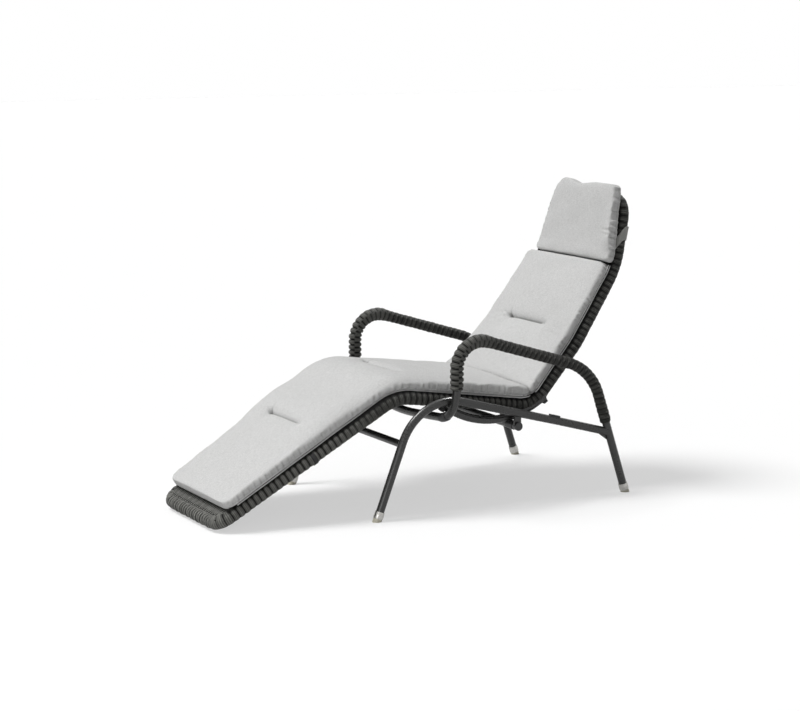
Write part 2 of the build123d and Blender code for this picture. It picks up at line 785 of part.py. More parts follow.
nodes = {
    "front_hoop_tube": [hoop],
    "left_rear_leg_tube": [mirror(rear_leg, about=Plane.XZ)],
    "right_rear_leg_tube": [rear_leg],
    "arm_spigots": both_sides(spigot),
    "left_side_rail": [mirror(rail_tube, about=Plane.XZ)],
    "right_side_rail": [rail_tube],
    "rear_joint_gussets": both_sides(gusset),
    "leg_stretcher": [stretcher],
    "rear_cross_tube": [rear_tube],
    "cross_tube_brackets": both_sides(bracket),
    "cross_tube_caps": both_sides(end_cap),
    "front_runner_sleeves": both_sides(front_sleeve),
    "rear_runner_sleeves": both_sides(rear_sleeve),
    "left_arm_wrap": [mirror(arm_wrap, about=Plane.XZ)],
    "right_arm_wrap": [arm_wrap],
    "rail_pads": both_sides(rail_pad),
    "foot_ferrules": both_sides(front_ferrule) + both_sides(rear_ferrule),
    "foot_glides": both_sides(front_glide) + both_sides(rear_glide),
    "shell_frame": [frame_tube],
    "shell_braces": braces,
    "woven_rim": [rim],
    "woven_deck": [deck],
    "left_runner": [mirror(runner, about=Plane.XZ)],
    "right_runner": [runner],
    "runner_stops": both_sides(front_stop) + both_sides(rear_stop),
    "seat_cushion": [seat_pad],
    "back_cushion": [back_pad],
    "cushion_ties": both_sides(tie),
    "head_cushion": [pillow],
    "head_strap": [strap],
}

# The origin lies on the floor under the middle of the chair's length
box = Compound([solid for shapes in nodes.values() for shape in shapes for solid in shape.solids()])
box = box.bounding_box()
middle_x = (box.min.X + box.max.X) / 2
os.makedirs("parts", exist_ok=True)
for name, shapes in nodes.items():
    placed = [Pos(-middle_x, 0, 0) * solid for shape in shapes for solid in shape.solids()]
    export_step(Compound(placed) if len(placed) > 1 else placed[0], f"parts/{name}.step")
print("box", box.min, box.max, "middle", middle_x)
print("recline axis", recline_x - middle_x, recline_height)
print("head slide", side_plane(side_length).z_dir)
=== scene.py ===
"""Looks of a reclining garden armchair: woven shell, woven arms, bent tubes and padded cushions.

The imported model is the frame.  Bare tubes, fittings and feet keep their solids and get
finishes; the wound and woven parts and the cushions are new surfaces that stand for theirs.
Metres, +Z up, +X towards the head, -Y the sitter's left.
"""
import math

import bpy
import numpy as np
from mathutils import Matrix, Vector


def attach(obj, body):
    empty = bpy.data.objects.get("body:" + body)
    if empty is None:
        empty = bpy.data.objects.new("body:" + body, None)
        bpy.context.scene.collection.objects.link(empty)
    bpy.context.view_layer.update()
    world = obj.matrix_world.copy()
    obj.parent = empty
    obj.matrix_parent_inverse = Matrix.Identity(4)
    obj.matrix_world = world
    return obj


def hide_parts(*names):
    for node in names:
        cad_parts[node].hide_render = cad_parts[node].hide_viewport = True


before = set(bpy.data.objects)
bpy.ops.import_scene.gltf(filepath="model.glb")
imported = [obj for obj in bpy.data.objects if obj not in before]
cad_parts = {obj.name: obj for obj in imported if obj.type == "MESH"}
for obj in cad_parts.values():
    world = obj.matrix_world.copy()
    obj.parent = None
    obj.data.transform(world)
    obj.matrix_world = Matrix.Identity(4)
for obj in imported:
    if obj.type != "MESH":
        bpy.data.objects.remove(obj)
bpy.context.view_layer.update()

bl_info = {
    "name": "Reclining Garden Armchair",
    "version": (1, 0, 0),
    "blender": (4, 5, 0),
    "location": "3D View > Sidebar > Armchair",
    "description": "Dresses the packed frame of a reclining garden armchair",
    "category": "Add Mesh",
}

# Places shared with the solids, in metres; x is counted from the middle of the length
SHIFT = 0.01205
SHELL_POINTS = ((-0.7154, 0.0247), (-0.1569, 0.3566), (0.3152, 0.2890), (0.4866, 0.4713),
                (0.6465, 0.6947), (0.6913, 0.9002))
SHELL_RADII = (0.1417, 0.112, 0.420, 0.289)
SHELL_HALF_WIDTHS = (0.183, 0.232, 0.244, 0.228, 0.204, 0.186)
FOOT_CORNER_R, HEAD_CORNER_R = 0.048, 0.060
RIM_R = 0.021
ARM_HALF_WIDTH = 0.320
ARM_FRONT_HEIGHT, ARM_REACH, ARM_SLOPE = 0.547, 0.481, math.radians(16.9)
ARM_FRONT_R, ARM_REAR_R = 0.080, 0.170
REAR_LEG_LEAN = math.radians(18.6)
RAIL_JOINT = (0.54951, 0.19729)
TUBE_R = 0.0125

# Rim: where the two ends' windings meet the sides', steps along it and points round it
FOOT_TURN, HEAD_TURN = 0.030, 0.045
RIM_STEP, RIM_END_STEP, RIM_COLUMNS = 0.00125, 0.0011, 32
CALM_AT, CALM_REACH = 0.56, 0.22
# RIM_PAINTED_LIGHT is painted light on the side strands near the foot, fading out between two runs
RIM_PAINTED_LIGHT, RIM_PAINTED_LIGHT_FADES = 0.42, (0.42, 0.60)
# FOOT_PAINTED_LIGHT makes the foot end's strands a lighter copy: painted light
FOOT_GROOVE, FOOT_LUMP, FOOT_LUMP_PITCH, FOOT_PAINTED_LIGHT = 0.0032, 0.0036, 0.037, 1.9
# The stitch row is only painted: dots of painted shade and of painted highlight; DECK_PAINTED_LIGHT makes the
# deck's strands a lighter copy: painted light
STITCH_PITCH, STITCH_RUN, STITCH_WIDTH = 0.0148, 0.0145, 0.0020
DECK_PAINTED_LIGHT, DECK_TOP, DECK_UNDER, DECK_INSIDE, WEAVE_HALF = 1.3, 0.0042, 0.0076, 0.006, 0.011

# Arm windings; the higher its round-off, the flatter a bunch's crown
WRAP_FRONT_R, WRAP_REAR_R = 0.0215, 0.01825
WRAP_START_HEIGHT, WRAP_TAPER, WRAP_ABOVE_RAIL = 0.376, 0.060, 0.033
WRAP_STEP, WRAP_COLUMNS, WRAP_CLOSE = 0.00115, 40, 0.006
BRAID_OUTER, BRAID_INNER, BRAID_BAND, BRAID_RISE = 0.20, 0.54, (0.10, 0.30), 0.0010
# ARM_PAINTED_SHADE darkens the arms' strand colour as painted shade, and ARM_FRONT_PAINTED_LIGHT paints the
# upright lighter
ARM_PAINTED_SHADE, ARM_FRONT_PAINTED_LIGHT, LOBES_FADE, WRAP_PAST_BEND = 0.60, 0.62, (0.087, 0.152), 0.02
BUNCH_ROUND_OFF, HEAD_ROUND_OFF, FOOT_ROUND_OFF = 2.6, 3.0, 2.0

# Pads: two values are those at the foot end's side and at the head end's side
PAD_BASE = RIM_R + 0.0005
SEAT_PAD_HALF_WIDTHS, SEAT_SIDES, SEAT_CROWNS = (0.202, 0.256), (0.030, 0.038), (0.012, 0.021)
BACK_PAD_HALF_WIDTHS, BACK_SIDES, BACK_CROWNS = (0.256, 0.216), (0.031, 0.031), (0.020, 0.020)
HEAD_PAD_HALF_WIDTHS, HEAD_SIDES, HEAD_CROWNS = (0.2015, 0.162), (0.037, 0.031), (0.013, 0.013)
SEAT_PAD_R, BACK_PAD_R, HEAD_PAD_R = 0.032, 0.022, 0.020
PAD_DRAW_IN, UNDERCUT = 0.005, 0.009
CALF_RISE, CALF_RISE_AT, CALF_RISE_REACH = 0.011, 0.438, 0.140
LEG_TUFT, KNEE_TUFT, BACK_TUFT_PAST_CREASE, TUFT_HALF = 0.393, 0.714, 0.258, 0.098
FIRM_CROWN, SWELL_CAP, SWELL_FRAMES, PAD_FILL = 0.55, 0.024, 20, 0.6
GATHERS, ROLLS, CREASE_DEPTH = 0.0021, 0.0007, 0.004
PILLOW_SLIDE, PILLOW_TURN = 0.030, 0.001
# PIPING_PAINTED_LIGHT makes the piping a lighter copy of the cover: painted light
PIPING_R, PIPING_STEP, PIPING_LEVELS, PIPING_PAINTED_LIGHT = 0.0017, 0.004, (0.0022, 0.0088), 1.15
STRAP_WIDTH, STRAP_THICK, STRAP_DROP, STRAP_OFF_RIM = 0.044, 0.0014, 0.048, 0.0012

# Colours of the small fittings
BLACK_PLASTIC, BLACK_RUBBER, BLACK_TAPE = (0.035, 0.035, 0.036), (0.022, 0.022, 0.022), (0.03, 0.03, 0.03)
METAL_DARK, METAL_LIGHT = (0.30, 0.295, 0.28, 1.0), (0.55, 0.54, 0.52, 1.0)

# Stage: lamps are name, kind, strength, angle or width, and place
LAMPS = (("key", "SUN", 2.9, math.radians(26), (-2.0, 1.2, 4.4)),
         ("side", "AREA", 8.2, 0.8, (-1.9, -1.5, 0.30)),
         ("gleam", "SUN", 1.8, math.radians(9), (2.4, 1.7, 4.0)))
SKY_STRENGTH, WHITE, FLOOR_SIZE, FLOOR_GLOW = 0.22, (1, 1, 1, 1), 30.0, 0.55
CAMERA_PLACE = (-3.03898, -5.41116, 1.46295)
CAMERA_BACK = (-0.48297, -0.86029, 0.16316)
CAMERA_LENS, CAMERA_FILM = 91.68, 36.0
RAYS = ("Is Camera Ray", "Is Glossy Ray", "Is Transmission Ray")


class ArmchairSizes(bpy.types.PropertyGroup):
    """Sizes that a user would change."""

    rim_pitch: bpy.props.FloatProperty(
        name="Rim bunch", description="Length of one bunch of strands along the rim",
        default=0.0195, min=0.006, max=0.04, unit="LENGTH")
    wrap_pitch: bpy.props.FloatProperty(
        name="Front arm bunch", description="Length of one bunch on the arm's upright",
        default=0.0167, min=0.006, max=0.04, unit="LENGTH")
    wrap_rear_pitch: bpy.props.FloatProperty(
        name="Rear arm bunch", description="Length of one bunch along the sloping arm",
        default=0.0178, min=0.005, max=0.04, unit="LENGTH")
    groove: bpy.props.FloatProperty(
        name="Groove", description="Depth of the gap between two bunches",
        default=0.0042, min=0.0, max=0.012, unit="LENGTH")
    deck_pitch: bpy.props.FloatProperty(
        name="Deck strand", description="Width of one lengthwise strand of the deck",
        default=0.0074, min=0.002, max=0.02, unit="LENGTH")
    tuft_depth: bpy.props.FloatProperty(
        name="Tuft depth", description="How deep a sewn tuft line pulls the pad in",
        default=0.011, min=0.0, max=0.04, unit="LENGTH")
    swell: bpy.props.FloatProperty(
        name="Swell", description="Air pressure that plumps the cushions",
        default=2.0, min=0.0, max=12.0)


class ArmchairColours(bpy.types.PropertyGroup):
    """Colours that a user would change."""

    tube: bpy.props.FloatVectorProperty(
        name="Tube", description="Powder coat of the tubes", subtype="COLOR",
        size=3, min=0.0, max=1.0, default=(0.016, 0.016, 0.0155))
    strand: bpy.props.FloatVectorProperty(
        name="Strand", description="Woven strands", subtype="COLOR",
        size=3, min=0.0, max=1.0, default=(0.095, 0.095, 0.088))
    cloth: bpy.props.FloatVectorProperty(
        name="Cloth", description="Cushion covers", subtype="COLOR",
        size=3, min=0.0, max=1.0, default=(0.60, 0.60, 0.594))
    strap: bpy.props.FloatVectorProperty(
        name="Strap", description="Head strap and ties", subtype="COLOR",
        size=3, min=0.0, max=1.0, default=(0.36, 0.36, 0.345))
    glide: bpy.props.FloatVectorProperty(
        name="Glide", description="Plastic under the feet", subtype="COLOR",
        size=3, min=0.0, max=1.0, default=(0.62, 0.59, 0.48))


# Paths


def bent_line(points, radii, step):
    """Points at even steps along straight runs joined by arcs of the given radii.

    An arc turns from direction a to b about centre c: P = c + (p - c) cos t + r a sin t.
    """
    points = [np.array(p, float) for p in points]
    pieces = []
    start = points[0]
    for before, corner, after, radius in zip(points, points[1:], points[2:], radii):
        a = (corner - before) / np.linalg.norm(corner - before)
        b = (after - corner) / np.linalg.norm(after - corner)
        turn = math.acos(float(np.clip(a @ b, -1, 1)))
        reach = radius * math.tan(turn / 2)
        arc_start = corner - a * reach
        inward = b - a * (a @ b)
        inward /= np.linalg.norm(inward)
        centre = arc_start + inward * radius
        count = max(2, int(np.linalg.norm(arc_start - start) / step))
        pieces.append(start + (arc_start - start) * np.linspace(0, 1, count, endpoint=False)[:, None])
        t = np.linspace(0, turn, max(3, int(radius * turn / step)), endpoint=False)[:, None]
        pieces.append(centre - inward * radius * np.cos(t) + a * radius * np.sin(t))
        start = corner + b * reach
    count = max(2, int(np.linalg.norm(points[-1] - start) / step))
    pieces.append(start + (points[-1] - start) * np.linspace(0, 1, count)[:, None])
    return np.concatenate(pieces)


def run_lengths(line):
    """Length from the start to each point of a line."""
    return np.concatenate([[0.0], np.cumsum(np.linalg.norm(np.diff(line, axis=0), axis=1))])


def resampled(line, lengths):
    """Points of a line at the given lengths from its start."""
    runs = run_lengths(line)
    return np.stack([np.interp(lengths, runs, line[:, k]) for k in range(3)], 1)


def unit(vectors):
    """Vectors brought to length one."""
    return vectors / np.maximum(np.linalg.norm(vectors, axis=-1, keepdims=True), 1e-12)


def path_frames(line, side):
    """Unit tangent, side and up at each point: side is kept square to the tangent."""
    tangent = unit(np.gradient(line, axis=0))
    side = np.broadcast_to(np.asarray(side, float), line.shape)
    side = unit(side - tangent * np.sum(side * tangent, axis=1, keepdims=True))
    return tangent, side, np.cross(tangent, side)


def smooth_step(low, high, value):
    """0 at low, 1 at high, 3t^2 - 2t^3 between them."""
    t = np.clip((value - low) / (high - low), 0, 1)
    return t * t * (3 - 2 * t)


# The shell's own coordinates: run along the side line, y across, height off the line

STEP = 0.0005
SIDE_LINE = bent_line([(x + SHIFT, 0, z) for x, z in SHELL_POINTS], SHELL_RADII, STEP)
SIDE_RUNS = run_lengths(SIDE_LINE)
SIDE_LENGTH = float(SIDE_RUNS[-1])
SIDE_TANGENT = unit(np.gradient(SIDE_LINE, axis=0))
SIDE_ANGLE = np.unwrap(np.arctan2(SIDE_TANGENT[:, 2], SIDE_TANGENT[:, 0]))


def run_near(x, z):
    """Run of the side line's point nearest to a place."""
    distance = np.hypot(SIDE_LINE[:, 0] - x - SHIFT, SIDE_LINE[:, 2] - z)
    return float(SIDE_RUNS[np.argmin(distance)])


STATION_RUNS = (0.0,) + tuple(run_near(x, z) for x, z in SHELL_POINTS[1:-1]) + (SIDE_LENGTH,)
KNEE_AT, HIP_AT, LUMBAR_AT, NECK_AT = STATION_RUNS[1:5]


def shell_half_width(run):
    """Half width between the rim's centre lines, straight between the stations."""
    return np.interp(run, STATION_RUNS, SHELL_HALF_WIDTHS)


def shell_point(run, y, height):
    """C(run) + y Y + height N(run), with N square to the side line and up off the deck."""
    run, y, height = np.broadcast_arrays(np.asarray(run, float), y, height)
    inside = np.clip(run, 0, SIDE_LENGTH)
    angle = np.interp(inside, SIDE_RUNS, SIDE_ANGLE)
    beyond = run - inside
    x = np.interp(inside, SIDE_RUNS, SIDE_LINE[:, 0]) + beyond * np.cos(angle) - height * np.sin(angle)
    z = np.interp(inside, SIDE_RUNS, SIDE_LINE[:, 2]) + beyond * np.sin(angle) + height * np.cos(angle)
    return np.stack([x, y, z], -1)


def shell_place(points):
    """Run, y and height of points: the nearest point of the side line, found in blocks."""
    stride, block_size = 8, 20000
    line = SIDE_LINE[::stride, [0, 2]].astype(np.float32)
    places = []
    for block in np.array_split(points, max(1, len(points) // block_size)):
        flat = block[:, [0, 2]].astype(np.float32)
        near = np.argmin(
            (flat[:, None, 0] - line[None, :, 0]) ** 2 + (flat[:, None, 1] - line[None, :, 1]) ** 2, axis=1)
        index = near * stride
        away = block[:, [0, 2]] - SIDE_LINE[index][:, [0, 2]]
        cos, sin = np.cos(SIDE_ANGLE[index]), np.sin(SIDE_ANGLE[index])
        run = SIDE_RUNS[index] + away[:, 0] * cos + away[:, 1] * sin
        places.append(np.stack([run, block[:, 1], away[:, 1] * cos - away[:, 0] * sin], 1))
    return np.concatenate(places)


# Meshes


def grid_mesh(name, points, close_columns=False, ends=False, uv=None, values=None):
    """Mesh over a grid of points: one quad between four neighbours, row by row.

    Columns may close on themselves, and ends adds one flat face at each end row.
    uv holds the grid lines' own two coordinates, values holds attributes point by point.
    """
    rows, columns = points.shape[:2]
    index = np.arange(rows * columns).reshape(rows, columns)
    column = np.arange(columns if close_columns else columns - 1)
    r, c = np.meshgrid(np.arange(rows - 1), column, indexing="ij")
    after = (c + 1) % columns
    quads = np.stack([index[r, c], index[r, after], index[r + 1, after], index[r + 1, c]], -1)
    quads = quads.reshape(-1, 4)
    loops, sizes = [quads.ravel()], [np.full(len(quads), 4)]
    if ends:
        loops += [index[0, ::-1], index[-1]]
        sizes += [np.array([columns, columns])]
    loops, sizes = np.concatenate(loops), np.concatenate(sizes)
    mesh = bpy.data.meshes.new(name)
    mesh.vertices.add(rows * columns)
    mesh.vertices.foreach_set("co", points.astype(np.float32).ravel())
    mesh.loops.add(len(loops))
    mesh.loops.foreach_set("vertex_index", loops.astype(np.int32))
    mesh.polygons.add(len(sizes))
    mesh.polygons.foreach_set("loop_start", np.concatenate([[0], np.cumsum(sizes)[:-1]]).astype(np.int32))
    mesh.update(calc_edges=True)
    mesh.shade_smooth()
    if uv is not None:
        u, v = uv
        corner = np.stack([
            np.stack([u[r, c], v[r, c]], -1), np.stack([u[r, c + 1], v[r, c + 1]], -1),
            np.stack([u[r + 1, c + 1], v[r + 1, c + 1]], -1), np.stack([u[r + 1, c], v[r + 1, c]], -1),
        ], 2).reshape(-1, 2)
        spare = len(loops) - len(corner)
        corner = np.concatenate([corner, np.zeros((spare, 2))])
        layer = mesh.uv_layers.new(name="Strands")
        layer.data.foreach_set("uv", corner.astype(np.float32).ravel())
    for key, value in (values or {}).items():
        attribute = mesh.attributes.new(key, "FLOAT", "POINT")
        attribute.data.foreach_set("value", value.astype(np.float32).ravel())
    mesh.validate()
    return mesh


def new_piece(name, mesh, body, finish, replaces=()):
    """Object at the origin that rides on a body, wears a finish and stands for CAD nodes."""
    piece = bpy.data.objects.new(name, mesh)
    bpy.context.scene.collection.objects.link(piece)
    mesh.materials.clear()
    mesh.materials.append(finish)
    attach(piece, body)
    if replaces:
        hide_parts(*replaces)
    return piece


# Finishes


class Signal:
    """A socket in a shader; arithmetic on it adds Math nodes."""

    def __init__(self, finish, socket):
        self.finish, self.socket = finish, socket

    def _maths(self, operation, *values):
        return self.finish.node("ShaderNodeMath", {"operation": operation}, dict(enumerate(values)))

    def __add__(self, other):
        return self._maths("ADD", self, other)

    __radd__ = __add__

    def __sub__(self, other):
        return self._maths("SUBTRACT", self, other)

    def __rsub__(self, other):
        return self._maths("SUBTRACT", other, self)

    def __mul__(self, other):
        return self._maths("MULTIPLY", self, other)

    __rmul__ = __mul__

    def __pow__(self, other):
        return self._maths("POWER", self, other)

    def sine(self):
        return self._maths("SINE", self)

    def size(self):
        return self._maths("ABSOLUTE", self)

    def floor(self):
        return self._maths("FLOOR", self)

    def part(self):
        return self._maths("FRACT", self)

    def most(self, other):
        return self._maths("MAXIMUM", self, other)

    def between(self, low, high):
        """0 at low, 1 at high, eased."""
        return self.finish.node(
            "ShaderNodeMapRange", {"interpolation_type": "SMOOTHSTEP"},
            {"Value": self, "From Min": low, "From Max": high})


class Finish:
    """A material with one Principled shader, built by name."""

    def __init__(self, name, **constants):
        self.material = bpy.data.materials.new(name)
        self.material.use_nodes = True
        self.tree = self.material.node_tree
        self.shader = self.tree.nodes["Principled BSDF"]
        for key, value in constants.items():
            self.shader.inputs[key.replace("_", " ")].default_value = value

    def node(self, kind, settings=None, sockets=None, output=0):
        """Adds a node, applies its settings, then its sockets' values or links."""
        made = self.tree.nodes.new(kind)
        for key, value in (settings or {}).items():
            setattr(made, key, value)
        for key, value in (sockets or {}).items():
            if isinstance(value, Signal):
                self.tree.links.new(value.socket, made.inputs[key])
            else:
                made.inputs[key].default_value = value
        return Signal(self, made.outputs[output])

    def place(self):
        """The point's own place on the piece."""
        return self.node("ShaderNodeTexCoord", output="Object")

    def attribute(self, name, output="Fac"):
        """A value stored in the mesh: a number, or a vector where the output is Vector."""
        return self.node("ShaderNodeAttribute", {"attribute_name": name}, output=output)

    def apart(self, vector):
        """The three parts of a vector."""
        made = self.tree.nodes.new("ShaderNodeSeparateXYZ")
        self.tree.links.new(vector.socket, made.inputs[0])
        return [Signal(self, socket) for socket in made.outputs]

    def scaled(self, vector, factors):
        """A vector times three factors."""
        return self.node("ShaderNodeMapping", None, {"Vector": vector, "Scale": factors})

    def grain(self, vector, scale, detail=2.0):
        """Noise from 0 to 1."""
        return self.node("ShaderNodeTexNoise", None, {"Vector": vector, "Scale": scale, "Detail": detail})

    def blend(self, factor, first, second):
        """Mix of two colours; the colour sockets of a Mix node share their names with others."""
        return self.node("ShaderNodeMix", {"data_type": "RGBA"}, {0: factor, 6: first, 7: second}, output=2)

    def feed(self, socket, signal):
        """Links a signal to the shader."""
        self.tree.links.new(signal.socket, self.shader.inputs[socket])

    def raise_by(self, height, distance, strength=1.0, over=None):
        """Bump from a height; over is a bump that lies below it."""
        sockets = {"Height": height, "Distance": distance, "Strength": strength}
        if over is not None:
            sockets["Normal"] = over
        return self.node("ShaderNodeBump", None, sockets)


def tint(colour, factor=1.0):
    """Colour times a factor, with its alpha."""
    return (*[min(1.0, c * factor) for c in colour], 1.0)


def powder_coat(name, colour, roughness):
    """Baked coat on tube: fine orange peel and slight changes of gloss."""
    finish = Finish(name, Specular_IOR_Level=0.55)
    place = finish.place()
    peel = finish.grain(place, scale=900.0, detail=1.0)
    cloud = finish.grain(place, scale=14.0, detail=3.0)
    dust = finish.grain(place, scale=120.0, detail=3.0)
    finish.feed("Base Color", finish.blend(cloud, tint(colour, 0.85), tint(colour, 1.2)))
    finish.feed("Roughness", roughness + (dust - 0.5) * 0.16 + (cloud - 0.5) * 0.10)
    finish.feed("Normal", finish.raise_by(peel, 0.00012, 0.5))
    return finish.material


def strand_finish(name, colour, per_bunch):
    """Wound strands: painted shade in the gaps between the bunches and on the lines between strands, fine
    grain along each.

    U counts bunches along the piece and V runs round it, in metres.  The mesh stores
    painted_relief_shade, from 0 in a gap or under painted shade to 1 on a bunch, and dash,
    where a strand is painted lighter as if lit.
    from 0 in a gap to 1 on a bunch, and dash, which is where a strand lies bare and light.
    """
    finish = Finish(name, Specular_IOR_Level=0.12)
    uv = finish.node("ShaderNodeUVMap", {"uv_map": "Strands"})
    u, v, _ = finish.apart(uv)
    painted_relief_shade = finish.attribute("painted_relief_shade")
    strand = (u * per_bunch).part()
    ridge = 1.0 - ((strand - 0.5).size() * 2.0) ** 2.5
    which = (u * per_bunch).floor()
    vary = finish.node("ShaderNodeTexWhiteNoise", {"noise_dimensions": "1D"}, {"W": which})
    along = finish.node("ShaderNodeCombineXYZ", None, {"X": u * (per_bunch * 4.0), "Y": v * 80.0})
    grain = finish.grain(along, scale=1.0, detail=3.0)
    patch = finish.grain(finish.place(), scale=55.0)
    base = finish.blend(vary, tint(colour, 0.5), tint(colour, 1.5))
    base = finish.blend(grain.between(0.48, 0.75), base, tint(colour, 2.5))
    base = finish.blend(patch.between(0.35, 0.75) * 0.5, base, tint(colour, 0.7))
    # Painted shade: gaps, bands under the cushions and the lines between strands go nearly black
    depth = painted_relief_shade.between(0.15, 0.95) * (0.15 + ridge * 0.85)
    # Painted light and painted highlights where dash is set
    base = finish.blend(finish.attribute("dash"), base, tint(colour, 3.0))
    finish.feed("Base Color", finish.blend(depth, tint(colour, 0.05), base))
    finish.feed("Roughness", 0.5 + (grain - 0.5) * 0.2 + (1.0 - painted_relief_shade) * 0.25)
    low = finish.raise_by(ridge, 0.0012, 0.9)
    finish.feed("Normal", finish.raise_by(grain, 0.0003, 0.5, over=low))
    return finish.material


THREAD = 0.0011


def cloth_finish(name, colour):
    """Heathered plain weave: two thread counts crossed on the piece's own run and width."""
    finish = Finish(name, Roughness=0.92, Specular_IOR_Level=0.25, Sheen_Weight=0.25, Sheen_Roughness=0.5)
    place = finish.attribute("cloth", output="Vector")
    run, across, height = finish.apart(place)
    turn = 2 * math.pi / THREAD
    weft = (run * turn).sine()
    warp = ((across + height) * turn).sine()
    weave = weft * warp
    weft_slub = finish.grain(finish.scaled(place, (90.0, 900.0, 900.0)), scale=1.0)
    warp_slub = finish.grain(finish.scaled(place, (900.0, 90.0, 900.0)), scale=1.0)
    cloud = finish.grain(finish.place(), scale=7.0, detail=3.0)
    heather = weft_slub * 0.5 + warp_slub * 0.5
    tone = finish.blend(heather.between(0.38, 0.62), tint(colour, 0.84), tint(colour, 1.09))
    tone = finish.blend(cloud * 0.35, tone, tint(colour, 0.93))
    # Painted shade along tuft grooves, creases and the foot of the sides, from the seam attribute
    seam = finish.attribute("seam")
    finish.feed("Base Color", finish.blend(seam * 0.7, tone, tint(colour, 0.30)))
    low = finish.raise_by(heather, 0.0006, 0.6)
    finish.feed("Normal", finish.raise_by(weave, 0.00022, 0.5, over=low))
    return finish.material


def webbing_finish(name, colour):
    """Woven tape with ribs along its length."""
    finish = Finish(name, Roughness=0.8, Specular_IOR_Level=0.3, Sheen_Weight=0.2)
    uv = finish.node("ShaderNodeUVMap", {"uv_map": "Strands"})
    u, v, _ = finish.apart(uv)
    rib_width, pick_width = 0.0022, 0.0016
    rib = (v * (2 * math.pi / rib_width)).sine()
    cross = (u * (2 * math.pi / pick_width)).sine()
    grain = finish.grain(finish.place(), scale=700.0)
    finish.feed("Base Color", finish.blend(grain, tint(colour, 0.8), tint(colour, 1.15)))
    finish.feed("Normal", finish.raise_by(rib * 0.6 + rib * cross * 0.4, 0.0003, 0.6))
    return finish.material


def plastic_finish(name, colour, roughness):
    """Moulded plastic or rubber with fine speckle and scuffs."""
    finish = Finish(name, Specular_IOR_Level=0.45)
    place = finish.place()
    scuff = finish.grain(finish.scaled(place, (1.0, 1.0, 0.3)), scale=160.0, detail=4.0)
    cloud = finish.grain(place, scale=45.0)
    finish.feed("Base Color", finish.blend(cloud, tint(colour, 0.85), tint(colour, 1.1)))
    finish.feed("Roughness", roughness + (scuff - 0.5) * 0.25)
    finish.feed("Normal", finish.raise_by(scuff, 0.0002, 0.4))
    return finish.material


def polished_finish(name):
    """Turned and polished metal: rings round the ferrule, light scratches."""
    finish = Finish(name, Metallic=1.0)
    place = finish.place()
    rings = finish.grain(finish.scaled(place, (30.0, 30.0, 900.0)), scale=1.0, detail=3.0)
    cloud = finish.grain(place, scale=60.0, detail=3.0)
    finish.feed("Base Color", finish.blend(cloud, METAL_DARK, METAL_LIGHT))
    finish.feed("Roughness", 0.2 + rings * 0.16)
    finish.feed("Normal", finish.raise_by(rings, 0.0001, 0.4))
    return finish.material


def wear(nodes, material):
    """Gives CAD nodes a finish."""
    for name in nodes:
        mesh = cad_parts[name].data
        mesh.materials.clear()
        mesh.materials.append(material)


# Wound strands


def wound_surface(line, side, radius, phase, groove, columns, seed, round_off, shift=0.0, lump=0.0):
    """Roll of wound strands along a line.

    P(s, t) = C(s) + r(s, t) (cos t side + sin t up).  With p the bunch count at s and f its
    fraction, crown = 1 - |2 f - 1|^round_off and r = R - groove (1 - crown) - lift crown - lump,
    where lift changes from bunch to bunch and a little along the line, and r is never above R.
    shift is added to p, so that bunches can be offset over part of the round.
    """
    most_lift, most_uneven, spots = 0.0009, 0.0005, 60
    rng = np.random.default_rng(seed)
    _, across, up = path_frames(line, side)
    lines = np.linspace(0, 2 * np.pi, columns + 1)
    t = lines[:-1]
    whole = phase[:, None] + np.broadcast_to(shift, (len(line), columns + 1))
    p = whole[:, :-1]
    count = int(np.ceil(p.max())) + 3
    lift = rng.uniform(0, 1, count + 2)
    bunch = np.clip(np.floor(p).astype(int) + 1, 0, count)
    share = p - np.floor(p)
    crown = 1 - np.abs(2 * share - 1) ** round_off
    uneven = np.interp(np.arange(len(line)), np.linspace(0, len(line), spots), rng.uniform(0, 1, spots))
    drop = groove * (1 - crown) + (most_lift * lift[bunch] + most_uneven * uneven[:, None]) * crown + lump
    r = radius[:, None] - np.maximum(drop, 0)
    # painted_relief_shade: 1 on a bunch's crown, falling in the gaps; the finish paints shade from it
    painted_relief_shade = 1 - (1 - crown) * np.clip(groove / 0.003, 0, 1)
    ring = np.cos(t)[None, :, None] * across[:, None, :] + np.sin(t)[None, :, None] * up[:, None, :]
    points = line[:, None, :] + r[:, :, None] * ring
    return points, (whole, radius[:, None] * lines[None, :]), painted_relief_shade


def phase_along(line, pitch):
    """Count of bunches from the start: the integral of ds / pitch."""
    runs = run_lengths(line)
    pitch = np.broadcast_to(pitch, runs.shape)
    middle = (1 / pitch[1:] + 1 / pitch[:-1]) / 2
    return np.concatenate([[0.0], np.cumsum(np.diff(runs) * middle)])


def rim_half_line(side):
    """The rim's centre line on one side: from the middle of the foot end to that of the head."""
    points = [(SHELL_POINTS[0][0] + SHIFT, 0, SHELL_POINTS[0][1])]
    points += [(x + SHIFT, side * w, z) for (x, z), w in zip(SHELL_POINTS, SHELL_HALF_WIDTHS)]
    points += [(SHELL_POINTS[-1][0] + SHIFT, 0, SHELL_POINTS[-1][1])]
    return bent_line(points, (FOOT_CORNER_R, *SHELL_RADII, HEAD_CORNER_R), STEP)


